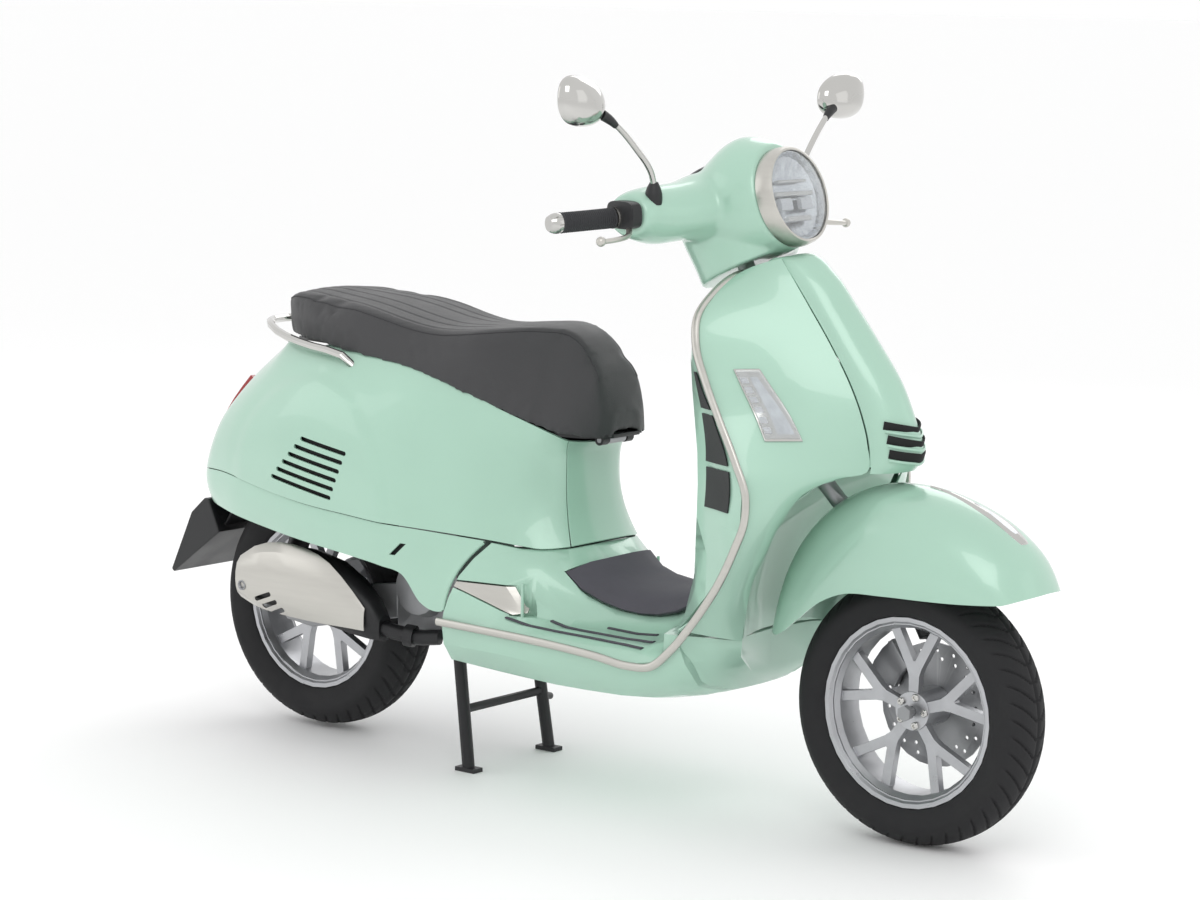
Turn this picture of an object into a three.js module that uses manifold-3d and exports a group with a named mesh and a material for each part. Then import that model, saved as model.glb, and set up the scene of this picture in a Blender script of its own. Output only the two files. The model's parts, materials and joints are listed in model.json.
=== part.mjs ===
// A step-through motor scooter on its centre stand: pressed body shell, single-sided
// trailing-link front fork, swinging engine unit with two rear shocks.
// Millimetres. +X forward, +Y to the rider's left, +Z up, floor at Z = 0. Shapes are drawn with
// X measured from the rear axle, and the whole group is then moved so that the middle of the
// overall length lies at X = 0.
import * as THREE from "three";
import { mergeVertices } from "three/addons/utils/BufferGeometryUtils.js";
import Module from "manifold-3d";

const wasm = await Module();
wasm.setup();

// ---------------------------------------------------------------- driving dimensions
const WHEELBASE = 1378;
const FRONT_TYRE_RADIUS = 236.4;
const FRONT_TYRE_HALF_WIDTH = 59;
const REAR_TYRE_RADIUS = 243.4;
const REAR_TYRE_HALF_WIDTH = 64;
const RIM_RADIUS = 167; // outside of the rim flange on both wheels
const STAND_LIFT = 6; // rear tyre above the floor while the centre stand is down
const BODY_HALF_WIDTH = 224; // widest place of the rear body
const SHIELD_HALF_WIDTH = 250; // leg shield at its trim
const BAR_HALF_WIDTH = 378; // tip of the bar-end weights
const RAKE = THREE.MathUtils.degToRad(26.5); // steering axis from the vertical
const WALL = 4; // body panels
const SEAM = 2; // between neighbouring panels
const GAP = 0.4; // between pieces that rest on each other
const MOVING_GAP = 6; // between pieces that move past each other
const AXLE_RADIUS = 8;
const BEARING_GAP = 0.5; // between an axle and its hub
const BAR_RADIUS = 11;
const GRIP_RADIUS = 17;
const FORK_RADIUS = 16;
const STAND_RADIUS = 12; // stand tubes
const REAR_END_X = -356; // rearmost point, on the plate bracket
const FRONT_END_X = 1622; // foremost point, on the front fender, at the drawn wheelbase

// The body is drawn at these sizes. Another wheelbase stretches the floor between the seat
// column and the leg shield, and another width widens every body panel alike.
const DRAWN = { wheelbase: 1378, bodyHalfWidth: 224, shieldHalfWidth: 250 };
const FLOOR_STRETCH = { from: 700, to: 930 };
const LENGTHENING = WHEELBASE - DRAWN.wheelbase;
const ORIGIN_X = (REAR_END_X + FRONT_END_X + LENGTHENING) / 2;

const FRONT_AXLE = new THREE.Vector3(WHEELBASE, 0, FRONT_TYRE_RADIUS);
const REAR_AXLE = new THREE.Vector3(0, 0, REAR_TYRE_RADIUS + STAND_LIFT);
const STEER_UP = new THREE.Vector3(-Math.sin(RAKE), 0, Math.cos(RAKE));
const STEER_HEAD = new THREE.Vector3(985 + LENGTHENING, 0, 985);
const SEAT_HINGE = { x: 702, z: 643 };
const STAND_PIVOT = { x: 430, z: 226 };

// ---------------------------------------------------------------- drawing helpers
const at = (x, y, z) => new THREE.Vector3(x, y, z);

// X of the drawn body stretched to the real wheelbase.
function along(x) {
  const { from, to } = FLOOR_STRETCH;
  const share = THREE.MathUtils.clamp((x - from) / (to - from), 0, 1);
  return x + LENGTHENING * share;
}

// Y of the drawn body widened to the real one, front and rear alike in between.
function across(x, y) {
  const { from, to } = FLOOR_STRETCH;
  const share = THREE.MathUtils.clamp((x - from) / (to - from), 0, 1);
  const rear = BODY_HALF_WIDTH / DRAWN.bodyHalfWidth;
  const front = SHIELD_HALF_WIDTH / DRAWN.shieldHalfWidth;
  return y * THREE.MathUtils.lerp(rear, front, share);
}

const bodyPoint = ([x, y, z]) => at(along(x), across(x, y), z);

// Value at t of a smooth curve through points at rising knots, with parabolic tangents.
function through(knots, points, t) {
  const last = knots.length - 1;
  let i = 0;
  while (i < last - 1 && t > knots[i + 1]) i++;
  const step = knots[i + 1] - knots[i];
  const slope = (k) => {
    const chord = (a) => points[a + 1].clone().sub(points[a]).divideScalar(knots[a + 1] - knots[a]);
    if (k === 0) return last === 1 ? chord(0) : chord(0).multiplyScalar(2).sub(slope(1));
    if (k === last) return last === 1 ? chord(0) : chord(last - 1).multiplyScalar(2).sub(slope(last - 1));
    const before = knots[k] - knots[k - 1];
    const after = knots[k + 1] - knots[k];
    return chord(k).multiplyScalar(before).add(chord(k - 1).multiplyScalar(after))
      .divideScalar(before + after);
  };
  const s = (t - knots[i]) / step;
  const value = points[i].clone().multiplyScalar(2 * s ** 3 - 3 * s ** 2 + 1);
  value.addScaledVector(slope(i), (s ** 3 - 2 * s ** 2 + s) * step);
  value.addScaledVector(points[i + 1], -2 * s ** 3 + 3 * s ** 2);
  return value.addScaledVector(slope(i + 1), (s ** 3 - s ** 2) * step);
}

// Knots from 0 to 1 spaced by the mean distance between neighbouring rows of points.
function knotsOf(rows) {
  const knots = [0];
  for (let i = 1; i < rows.length; i++) {
    const sum = rows[i].reduce((total, point, j) => total + point.distanceTo(rows[i - 1][j]), 0);
    knots.push(knots[i - 1] + sum / rows[i].length);
  }
  return knots.map((k) => k / knots.at(-1));
}

// A smooth surface through a grid of points: columns[i][j], u across columns and v along one.
class Surface {
  constructor(columns) {
    this.columns = columns;
    this.uKnots = knotsOf(columns);
    this.vKnots = knotsOf(columns[0].map((_, j) => columns.map((column) => column[j])));
  }
  at(u, v) {
    const row = this.columns.map((column) => through(this.vKnots, column, v));
    return through(this.uKnots, row, u);
  }
  // Unit normal, du x dv.
  normal(u, v) {
    const d = 1e-3;
    const [cu, cv] = [THREE.MathUtils.clamp(u, 0, 1), THREE.MathUtils.clamp(v, 0, 1)];
    const du = this.at(Math.min(cu + d, 1), cv).sub(this.at(Math.max(cu - d, 0), cv));
    const dv = this.at(cu, Math.min(cv + d, 1)).sub(this.at(cu, Math.max(cv - d, 0)));
    return du.cross(dv).normalize();
  }
}

const mirrorPoint = (p) => at(p.x, -p.y, p.z);
const mirrorColumn = (column) => column.map(mirrorPoint);

// Columns of one half, the centre one first, made into the columns of both halves.
const bothHalves = (columns) => [...columns.slice(1).reverse().map(mirrorColumn), ...columns];

// A closed solid from vertices and triangles, turned to face out.
function closedSolid(vertices, triangles) {
  let volume = 0;
  for (const [a, b, c] of triangles)
    volume += vertices[a].dot(vertices[b].clone().cross(vertices[c]));
  const facing = volume < 0 ? triangles.map(([a, b, c]) => [a, c, b]) : triangles;
  return new wasm.Manifold(new wasm.Mesh({
    numProp: 3,
    vertProperties: new Float32Array(vertices.flatMap((p) => [p.x, p.y, p.z])),
    triVerts: new Uint32Array(facing.flat()),
  }));
}

// A three.js geometry as a solid, with its shared vertices merged.
function solidOf(geometry, matrix = new THREE.Matrix4()) {
  const bare = new THREE.BufferGeometry().setAttribute("position",
    (geometry.index ? geometry.toNonIndexed() : geometry).getAttribute("position"));
  bare.applyMatrix4(matrix);
  const merged = mergeVertices(bare, 1e-3);
  const places = merged.getAttribute("position");
  const vertices = Array.from({ length: places.count }, (_, i) => at(0, 0, 0).fromBufferAttribute(places, i));
  const corners = Array.from(merged.index.array);
  const triangles = [];
  for (let i = 0; i < corners.length; i += 3) {
    const [a, b, c] = corners.slice(i, i + 3);
    if (a !== b && b !== c && c !== a) triangles.push([a, b, c]);
  }
  return closedSolid(vertices, triangles);
}

const join = (...solids) => solids.reduce((sum, solid) => sum.add(solid));
const cut = (solid, ...tools) => tools.reduce((left, tool) => left.subtract(tool), solid);

// The largest piece, where a cut leaves crumbs.
function largest(solid) {
  return solid.decompose().reduce((best, piece) => (piece.volume() > best.volume() ? piece : best));
}

// A plate of a surface patch: its outer face on the surface moved out by lift, thick inwards.
// Bounds of v may be functions of u, and u may list every place instead of its two bounds.
function plate(surface, { u, v, steps, thick = WALL, lift = 0, flip = 1 }) {
  const nv = steps[1];
  const nu = u.length > 2 ? u.length - 1 : steps[0];
  const places = u.length > 2 ? u
    : Array.from({ length: nu + 1 }, (_, i) => THREE.MathUtils.lerp(u[0], u[1], i / nu));
  const edge = (bound, at_u) => (typeof bound === "function" ? bound(at_u) : bound);
  const vertices = [];
  for (const depth of [lift, lift - thick])
    for (let i = 0; i <= nu; i++)
      for (let j = 0; j <= nv; j++) {
        const su = places[i];
        const sv = THREE.MathUtils.lerp(edge(v[0], su), edge(v[1], su), j / nv);
        vertices.push(surface.at(su, sv).addScaledVector(surface.normal(su, sv), depth * flip));
      }
  const id = (layer, i, j) => (layer * (nu + 1) + i) * (nv + 1) + j;
  const triangles = [];
  const quad = (a, b, c, d) => triangles.push([a, b, c], [a, c, d]);
  for (let i = 0; i < nu; i++)
    for (let j = 0; j < nv; j++) {
      quad(id(0, i, j), id(0, i + 1, j), id(0, i + 1, j + 1), id(0, i, j + 1));
      quad(id(1, i, j), id(1, i, j + 1), id(1, i + 1, j + 1), id(1, i + 1, j));
    }
  for (let i = 0; i < nu; i++) {
    quad(id(0, i, 0), id(1, i, 0), id(1, i + 1, 0), id(0, i + 1, 0));
    quad(id(0, i, nv), id(0, i + 1, nv), id(1, i + 1, nv), id(1, i, nv));
  }
  for (let j = 0; j < nv; j++) {
    quad(id(0, 0, j), id(0, 0, j + 1), id(1, 0, j + 1), id(1, 0, j));
    quad(id(0, nu, j), id(1, nu, j), id(1, nu, j + 1), id(0, nu, j + 1));
  }
  return closedSolid(vertices, triangles);
}

// Rings of equally many points joined into one closed solid, with flat-triangulated ends.
function loft(rings) {
  const n = rings[0].length;
  const vertices = rings.flat();
  const triangles = [];
  for (let k = 0; k + 1 < rings.length; k++)
    for (let i = 0; i < n; i++) {
      const [a, b] = [k * n + i, k * n + ((i + 1) % n)];
      triangles.push([a, b, b + n], [a, b + n, a + n]);
    }
  const cap = (ring, base, turn) => {
    const normal = at(0, 0, 0);
    ring.forEach((p, i) => normal.add(p.clone().cross(ring[(i + 1) % n])));
    const drop = ["x", "y", "z"].reduce((best, axis) =>
      (Math.abs(normal[axis]) > Math.abs(normal[best]) ? axis : best));
    const [a, b] = ["x", "y", "z"].filter((axis) => axis !== drop);
    const flat = ring.map((p) => new THREE.Vector2(p[a], p[b]));
    const faces = THREE.ShapeUtils.triangulateShape(flat, []);
    const same = Math.sign(normal[drop]) * (drop === "y" ? -1 : 1) > 0;
    const area = THREE.ShapeUtils.area(flat) > 0;
    for (const [p, q, r] of faces) {
      const forward = (same === area) === turn;
      triangles.push(forward ? [base + p, base + q, base + r] : [base + p, base + r, base + q]);
    }
  };
  const faces0 = triangles.length;
  cap(rings[0], 0, false);
  cap(rings.at(-1), vertices.length - n, true);
  // An end's triangles run against its ring's own edges, whatever way the outline turns.
  for (const [start, base, forward] of [[faces0, 0, false], [null, vertices.length - n, true]]) {
    const list = triangles.filter((t, i) => i >= faces0 && t.every((v) => v >= base && v < base + n));
    const edgeForward = list.some(([p, q, r]) =>
      [[p, q], [q, r], [r, p]].some(([x, y]) => y - base === (x - base + 1) % n));
    if (edgeForward !== forward) list.forEach((t) => t.reverse());
  }
  return closedSolid(vertices, triangles);
}

// A closed ring from its half, which runs from the top centre down one side to the bottom centre.
const wholeRing = (half) => [...half, ...half.slice(1, -1).reverse().map(mirrorPoint)];

// Matrix that puts the Z axis of a shape along a direction at a place.
function placed(position, direction) {
  const turn = new THREE.Quaternion().setFromUnitVectors(at(0, 0, 1), direction.clone().normalize());
  return new THREE.Matrix4().compose(position, turn, at(1, 1, 1));
}

// A rod between two points.
function rod(from, to, radius, sides = 20, endRadius = radius) {
  const length = to.distanceTo(from);
  const shape = new THREE.CylinderGeometry(endRadius, radius, length, sides);
  shape.rotateX(Math.PI / 2).translate(0, 0, length / 2);
  return solidOf(shape, placed(from, to.clone().sub(from)));
}

// A round tube along a smooth curve through points.
function tube(points, radius, sides = 12, steps = points.length * 5) {
  const outline = new THREE.Shape().absarc(0, 0, radius, 0, 2 * Math.PI);
  const curve = new THREE.CatmullRomCurve3(points, false, "centripetal");
  const shape = new THREE.ExtrudeGeometry(outline,
    { steps, bevelEnabled: false, extrudePath: curve, curveSegments: Math.round(sides / 2) });
  return solidOf(shape);
}

// A turned solid: profile pairs [radius, height], closed on itself or on the axis.
function turned(profile, matrix, sides = 32) {
  const outline = profile.map(([radius, height]) => new THREE.Vector2(radius, height));
  const shape = new THREE.LatheGeometry(outline, sides).rotateX(Math.PI / 2);
  return solidOf(shape, matrix);
}

// A box between two corners, with its edges along the axes.
function block(low, high) {
  const size = high.clone().sub(low);
  const shape = new THREE.BoxGeometry(size.x, size.y, size.z);
  return solidOf(shape.translate(low.x + size.x / 2, low.y + size.y / 2, low.z + size.z / 2));
}

// An outline in X and Z extruded along Y from yLow to yHigh.
function slab(outline, yLow, yHigh, bevel = 0) {
  const shape = new THREE.Shape(outline.map(([x, z]) => new THREE.Vector2(x, z)));
  const solid = new THREE.ExtrudeGeometry(shape, {
    depth: yHigh - yLow - 2 * bevel, bevelEnabled: bevel > 0, bevelSize: bevel,
    bevelThickness: bevel, bevelOffset: -bevel, bevelSegments: 1, curveSegments: 8,
  });
  return solidOf(solid.translate(0, 0, bevel).rotateX(Math.PI / 2).translate(0, yHigh, 0));
}

// The mirror image across the middle plane.
function mirrored(solid) {
  const mesh = solid.getMesh();
  const vertices = [];
  for (let i = 0; i < mesh.vertProperties.length; i += mesh.numProp)
    vertices.push(at(mesh.vertProperties[i], -mesh.vertProperties[i + 1], mesh.vertProperties[i + 2]));
  const triangles = [];
  for (let i = 0; i < mesh.triVerts.length; i += 3)
    triangles.push(Array.from(mesh.triVerts.slice(i, i + 3)).reverse());
  return closedSolid(vertices, triangles);
}

// ---------------------------------------------------------------- materials and the scene
const finish = (color, roughness, metalness) =>
  new THREE.MeshStandardMaterial({ color, roughness, metalness });
const PAINT = finish(0x9fd3b5, 0.3, 0.3);
const BLACK_PLASTIC = finish(0x1c1c1e, 0.6, 0);
const SEAT_VINYL = finish(0x3b3b3d, 0.75, 0);
const SATIN_METAL = finish(0xc4c2bd, 0.35, 1);
const CHROME = finish(0xd8d8d8, 0.1, 1);
const GRAPHITE = finish(0x6d6f72, 0.35, 1);
const ALLOY = finish(0x9a9a9a, 0.45, 1);
const TYRE = finish(0x1d1d1f, 0.85, 0);
const STEEL = finish(0x8c8c8c, 0.4, 1);
const MAT_RUBBER = finish(0x4b4a50, 0.85, 0);
const GRIP_RUBBER = finish(0x3a3c40, 0.8, 0);
const CLEAR_LENS = finish(0xdfe3e6, 0.1, 0);
const RED_LENS = finish(0xb02a2a, 0.2, 0);

const FACET_TOLERANCE = 0.02; // crumbs of facets below this are merged
const scooter = new THREE.Group();

function add(name, solid, material) {
  const mesh = solid.simplify(FACET_TOLERANCE).getMesh();
  const geometry = new THREE.BufferGeometry();
  geometry.setAttribute("position", new THREE.BufferAttribute(mesh.vertProperties, 3));
  geometry.setIndex(new THREE.BufferAttribute(mesh.triVerts, 1));
  geometry.computeVertexNormals();
  const node = new THREE.Mesh(geometry, material);
  node.name = name;
  scooter.add(node);
}

// The same piece on both sides: the solid is the left one.
function addPair(name, solid, material) {
  add(`${name}_left`, solid, material);
  add(`${name}_right`, mirrored(solid), material);
}

// ---------------------------------------------------------------- rear body
// Columns of the rear body's left half from the tail to the front of the seat column. Each runs
// from the panel seam up to the rim under the seat: x, half-width, z.
const REAR_COLUMNS = [
  [[-273, 0, 500], [-254, 0, 545], [-228, 0, 592], [-190, 0, 645], [-140, 0, 698], [-45, 0, 752]],
  [[-266, 60, 500], [-247, 62, 545], [-220, 64, 595], [-182, 62, 648], [-132, 58, 700], [-44, 52, 754]],
  [[-236, 108, 504], [-218, 112, 552], [-192, 110, 605], [-155, 102, 655], [-112, 86, 706], [-38, 82, 760]],
  [[-150, 150, 508], [-142, 154, 560], [-124, 150, 618], [-98, 136, 668], [-66, 116, 718], [-22, 102, 768]],
  [[0, 188, 492], [0, 193, 556], [0, 188, 620], [0, 170, 678], [3, 144, 734], [8, 118, 774]],
  [[120, 207, 480], [120, 213, 556], [120, 208, 636], [120, 192, 696], [120, 163, 745], [120, 134, 775]],
  [[240, 217, 473], [240, 221, 556], [240, 214, 634], [240, 198, 690], [242, 168, 738], [245, 142, 770]],
  [[340, 223, 468], [340, 221, 540], [342, 213, 606], [346, 202, 655], [350, 176, 712], [354, 146, 754]],
  [[430, 216, 466], [428, 208, 528], [426, 199, 588], [425, 188, 642], [426, 170, 692], [430, 146, 734]],
  [[500, 204, 463], [498, 196, 510], [495, 188, 560], [491, 178, 612], [488, 163, 660], [490, 142, 712]],
  [[562, 182, 457], [558, 174, 505], [552, 166, 556], [546, 157, 606], [542, 148, 652], [545, 136, 692]],
  [[612, 158, 450], [602, 146, 500], [596, 136, 555], [594, 131, 606], [596, 128, 642], [602, 126, 672]],
  [[650, 136, 446], [638, 117, 500], [631, 104, 555], [630, 102, 606], [634, 106, 634], [643, 110, 654]],
  [[684, 100, 450], [664, 86, 502], [655, 80, 556], [655, 80, 606], [658, 84, 626], [665, 88, 641]],
  [[704, 52, 456], [678, 46, 504], [667, 44, 557], [665, 44, 606], [668, 46, 624], [676, 48, 637]],
  [[710, 0, 458], [682, 0, 505], [670, 0, 558], [668, 0, 606], [671, 0, 623], [680, 0, 636]],
];
// Last columns of the side panel and of the lower skirt.
const COLUMN_SEAM = 13;
const SKIRT_END = 10;
// Lower skirt below the seam: bottom edge, middle and seam.
const SKIRT_COLUMNS = [
  [[-264, 0, 445], [-271, 0, 474], [-273, 0, 500]],
  [[-257, 60, 443], [-265, 61, 473], [-266, 60, 500]],
  [[-230, 98, 439], [-237, 106, 472], [-236, 108, 504]],
  [[-150, 140, 430], [-151, 148, 470], [-150, 150, 508]],
  [[0, 178, 415], [0, 186, 454], [0, 188, 492]],
  [[120, 205, 407], [120, 208, 444], [120, 207, 480]],
  [[240, 219, 398], [240, 220, 436], [240, 217, 473]],
  [[330, 224, 388], [332, 225, 430], [340, 223, 468]],
  [[384, 225, 378], [392, 224, 424], [400, 219, 467]],
  [[430, 226, 332], [440, 222, 402], [462, 211, 465]],
  [[484, 227, 322], [504, 217, 394], [552, 186, 458]],
];

const rearHalf = REAR_COLUMNS.map((column) => column.map(bodyPoint));
const rearSide = new Surface([
  ...rearHalf.slice(1, 3).reverse().map(mirrorColumn), ...rearHalf,
  ...rearHalf.slice(-3, -1).reverse().map(mirrorColumn)]);
const TAIL_COLUMN = 2; // place of the tail's centre among the surface's columns
const rearU = (column) => rearSide.uKnots[TAIL_COLUMN + column];
const skirtHalf = SKIRT_COLUMNS.map((column) => column.map(bodyPoint));
const skirt = new Surface([...skirtHalf.slice(1).reverse().map(mirrorColumn), ...skirtHalf]);

// The half-width of the body's inner face at a place under the seat, for what fits inside.
function insideHalfWidth(x) {
  const rim = rearHalf.map((column) => column.at(-1));
  const waist = rearHalf.map((column) => column[2]);
  const widthOf = (line) => {
    const k = line.findIndex((p) => p.x >= x);
    const share = (x - line[k - 1].x) / (line[k].x - line[k - 1].x);
    return THREE.MathUtils.lerp(line[k - 1].y, line[k].y, share);
  };
  return Math.min(widthOf(rim), widthOf(waist)) - WALL;
}

// Height of the rim under the seat at a place along it.
function rimHeight(x) {
  const rim = rearHalf.map((column) => column.at(-1)).filter((p) => p.y > 0);
  const ahead = rim.findIndex((p) => p.x >= x);
  const k = ahead < 0 ? rim.length - 1 : Math.max(1, ahead);
  const share = THREE.MathUtils.clamp((x - rim[k - 1].x) / (rim[k].x - rim[k - 1].x), 0, 1);
  return THREE.MathUtils.lerp(rim[k - 1].z, rim[k].z, share);
}

// Places along the side panel: its columns and halfway between them, apart from the two ends.
function sidePlaces(from, to) {
  const places = [from];
  for (let k = 0.5; k < COLUMN_SEAM; k += 0.5)
    places.push(THREE.MathUtils.lerp(rearU(Math.floor(k)), rearU(Math.ceil(k)), k % 1 || 1));
  return [...places, to];
}
const SIDE_STEPS = [0, 6];

function rearBody() {
  const inset = SEAM / 2 / 70; // of the skirt's height, for the seam above it
  const knots = skirt.uKnots;
  const halves = knots.slice(1).map((k, i) => (k + knots[i]) / 2);
  const places = [...knots, ...halves].sort((a, b) => a - b);
  add("rear_body", plate(skirt, { u: places, v: [0, 1 - inset], steps: [0, 3], flip: -1 }), PAINT);
  const above = SEAM / 2 / 300; // of the panel's height
  const beside = SEAM / 2 / 1500; // of the way round
  const side = plate(rearSide, {
    u: sidePlaces(rearU(0) + beside, rearU(COLUMN_SEAM) - beside), v: [above, 1], steps: SIDE_STEPS, flip: -1,
  });
  addPair("side_panel", side, PAINT);
  const column = plate(rearSide,
    { u: [rearU(COLUMN_SEAM) + beside, 1 - beside], v: [above, 1], steps: [8, 5], flip: -1 });
  add("column_cover", column, PAINT);
}

// What a piece that rests on a side panel is trimmed with, down to a depth.
function sidePanelRoom(depth) {
  return plate(rearSide, { u: sidePlaces(rearU(0), rearU(COLUMN_SEAM)), v: [0, 1], steps: SIDE_STEPS,
    thick: depth, lift: 2 * GAP, flip: -1 });
}

// ---------------------------------------------------------------- floor and tunnel
// Half rings of the floor pan from the seat column to its front end: top centre, over the tunnel
// and the foot well to the trim edge, then down the side to the bottom centre.
const FLOOR_RINGS = [
  [[560, 0, 432], [560, 90, 433], [561, 148, 444], [562, 180, 453], [540, 203, 425], [513, 214, 390],
    [496, 222, 350], [489, 228, 320], [488, 231, 300], [488, 225, 262], [490, 204, 230],
    [494, 150, 215], [496, 0, 212]],
  [[612, 0, 437], [612, 90, 439], [612, 136, 444], [612, 156, 444], [612, 186, 415], [612, 202, 385],
    [612, 212, 350], [612, 220, 320], [612, 235, 305], [612, 230, 262], [612, 206, 224],
    [612, 150, 211], [612, 0, 210]],
  [[704, 0, 453], [700, 56, 451], [680, 104, 446], [655, 135, 440], [656, 163, 405], [656, 182, 366],
    [656, 199, 336], [656, 217, 319], [656, 237, 305], [656, 231, 261], [656, 206, 222],
    [656, 150, 210], [656, 0, 209]],
  [[752, 0, 408], [750, 58, 406], [744, 100, 392], [740, 126, 362], [740, 146, 334], [740, 170, 322],
    [740, 195, 319], [740, 218, 316], [740, 240, 303], [740, 233, 258], [740, 207, 219],
    [740, 150, 209], [740, 0, 208]],
  [[805, 0, 381], [805, 60, 379], [805, 98, 367], [805, 122, 341], [805, 146, 324], [805, 172, 319],
    [805, 196, 318], [805, 219, 315], [805, 241, 301], [805, 233, 257], [805, 206, 219],
    [805, 148, 210], [805, 0, 208]],
  [[880, 0, 376], [880, 60, 374], [880, 98, 363], [880, 122, 338], [880, 146, 322], [880, 172, 318],
    [880, 196, 317], [880, 219, 313], [880, 242, 296], [882, 232, 255], [884, 203, 220],
    [886, 145, 212], [886, 0, 210]],
  [[940, 0, 386], [940, 60, 384], [940, 98, 373], [939, 122, 348], [938, 146, 327], [937, 172, 320],
    [936, 196, 317], [934, 219, 310], [932, 242, 290], [942, 230, 256], [950, 198, 225],
    [955, 138, 216], [955, 0, 214]],
  [[985, 0, 406], [985, 60, 405], [985, 98, 397], [985, 122, 374], [985, 146, 352], [984, 172, 340],
    [984, 196, 330], [986, 220, 317], [992, 243, 302], [1006, 228, 270], [1010, 190, 240],
    [1010, 120, 226], [1010, 0, 222]],
  [[1010, 0, 428], [1010, 60, 428], [1010, 98, 424], [1011, 124, 412], [1012, 148, 398],
    [1014, 172, 382], [1018, 196, 368], [1022, 220, 357], [1030, 242, 348], [1040, 226, 300],
    [1040, 186, 256], [1040, 110, 238], [1040, 0, 234]],
];
// Level outlines of the bow under the leg shield: half rings from the rear centre out and forward
// to the front centre.
const BOW_RINGS = [
  [[960, 0, 226], [960, 110, 226], [975, 150, 227], [1000, 160, 229], [1020, 135, 231], [1034, 95, 232],
    [1042, 50, 233], [1044, 0, 233]],
  [[960, 0, 262], [960, 150, 262], [985, 205, 262], [1018, 206, 263], [1050, 165, 264],
    [1068, 116, 266], [1064, 60, 267], [1060, 0, 267]],
  [[960, 0, 300], [960, 150, 300], [990, 224, 300], [1024, 224, 301], [1062, 180, 303],
    [1088, 128, 306], [1070, 98, 306], [1062, 0, 306]],
  [[960, 0, 345], [960, 150, 347], [1000, 236, 351], [1032, 239, 353], [1064, 196, 347],
    [1094, 134, 336], [1074, 104, 336], [1064, 0, 336]],
];
const FOOTREST = { outline: [[500, 372], [510, 380], [668, 382], [662, 338], [640, 334]], depth: 20 };
const FOOTREST_GAP = 3;
const FOOTREST_PIVOT = { x: 656, z: 360, inset: 8, swing: 27 };

// Half-width of the floor pan's side beside the footrest.
const footrestSide = across(FOOTREST_PIVOT.x, FLOOR_RINGS[1][6][1]);

// An outline with each edge moved out, corners mitred.
function grownOutline(outline, by) {
  const turn = Math.sign(THREE.ShapeUtils.area(outline.map(([x, z]) => new THREE.Vector2(x, z))));
  return outline.map(([x, z], i) => {
    const [before, after] = [outline.at(i - 1), outline[(i + 1) % outline.length]];
    const normal = ([x0, z0], [x1, z1]) => new THREE.Vector2(z1 - z0, x0 - x1).normalize().multiplyScalar(turn);
    const [n0, n1] = [normal(before, [x, z]), normal([x, z], after)];
    const mitre = n0.clone().add(n1).divideScalar(1 + n0.dot(n1)).multiplyScalar(by);
    return [x + mitre.x, z + mitre.y];
  });
}

function floor() {
  const rings = FLOOR_RINGS.map((half) => wholeRing(half.map(bodyPoint)));
  const bow = loft(BOW_RINGS.map((half) => wholeRing(half.map(bodyPoint))));
  const pan = join(loft(rings), bow);
  const inner = footrestSide - FOOTREST.depth;
  const outer = footrestSide + 60;
  const rest = pan.intersect(slab(FOOTREST.outline, inner, outer));
  const pivot = at(FOOTREST_PIVOT.x, footrestSide - FOOTREST_PIVOT.inset, 0);
  const room = slab(grownOutline(FOOTREST.outline, FOOTREST_GAP), inner - FOOTREST_GAP, outer);
  const swing = rod(pivot.clone().setZ(334 - FOOTREST_GAP), pivot.clone().setZ(382 + FOOTREST_GAP),
    FOOTREST_PIVOT.swing);
  const recess = join(room, swing);
  const pin = rod(pivot.clone().setZ(320), pivot.clone().setZ(392), 3, 12);
  const pinned = join(cut(pan, recess, mirrored(recess)), pin, mirrored(pin));
  const mat = new Surface(bothHalves(MAT_COLUMNS.map((column) => column.map(bodyPoint))));
  const recessed = plate(mat, { u: [-0.004, 1.004], v: [-0.004, 1.004], steps: [8, 8], thick: 18 + GAP, lift: 10 });
  add("footboard", largest(cut(pinned, recessed)), PAINT);
  add("tunnel_mat", plate(mat, { u: [0, 1], v: [0, 1], steps: [8, 8], thick: 8 }), MAT_RUBBER);
  addPair("footrest", largest(cut(rest, rod(pivot.clone().setZ(300), pivot.clone().setZ(400), 3.5, 12))),
    SATIN_METAL);
}
// Mat over the tunnel: columns from the middle out, each from the seat column forward.
const MAT_COLUMNS = [
  [[742, 0, 431], [775, 0, 402], [810, 0, 388], [870, 0, 383], [930, 0, 391], [985, 0, 413], [1002, 0, 428]],
  [[735, 50, 428], [770, 52, 399], [810, 54, 386], [870, 56, 381], [930, 56, 389], [985, 56, 411], [1002, 54, 427]],
  [[712, 92, 420], [752, 97, 385], [805, 99, 373], [870, 100, 368], [930, 101, 376], [985, 100, 402], [1003, 98, 424]],
  [[690, 122, 405], [740, 122, 372], [805, 116, 354], [870, 114, 350], [930, 116, 360], [985, 112, 390], [1004, 108, 419]],
];

// ---------------------------------------------------------------- leg shield
// Edge of the leg shield, followed by the metal trim: from the rear of the floor to the top centre.
const TRIM_LINE = [
  [480, 236, 304], [600, 241, 303], [740, 245, 300], [860, 247, 293], [930, 248, 286], [978, 248, 291],
  [1020, 248, 324], [1061, 249, 370], [1092, 250, 410], [1120, 252, 450], [1156, 253, 519],
  [1176, 253, 572], [1176, 252, 612], [1150, 248, 668], [1107, 237, 735], [1061, 217, 797],
  [1021, 191, 853], [1004, 164, 903], [1007, 128, 937], [1021, 72, 970], [1031, 36, 975], [1036, 0, 976],
];
const TRIM = { width: 15, height: 8, steps: 44 };
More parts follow.
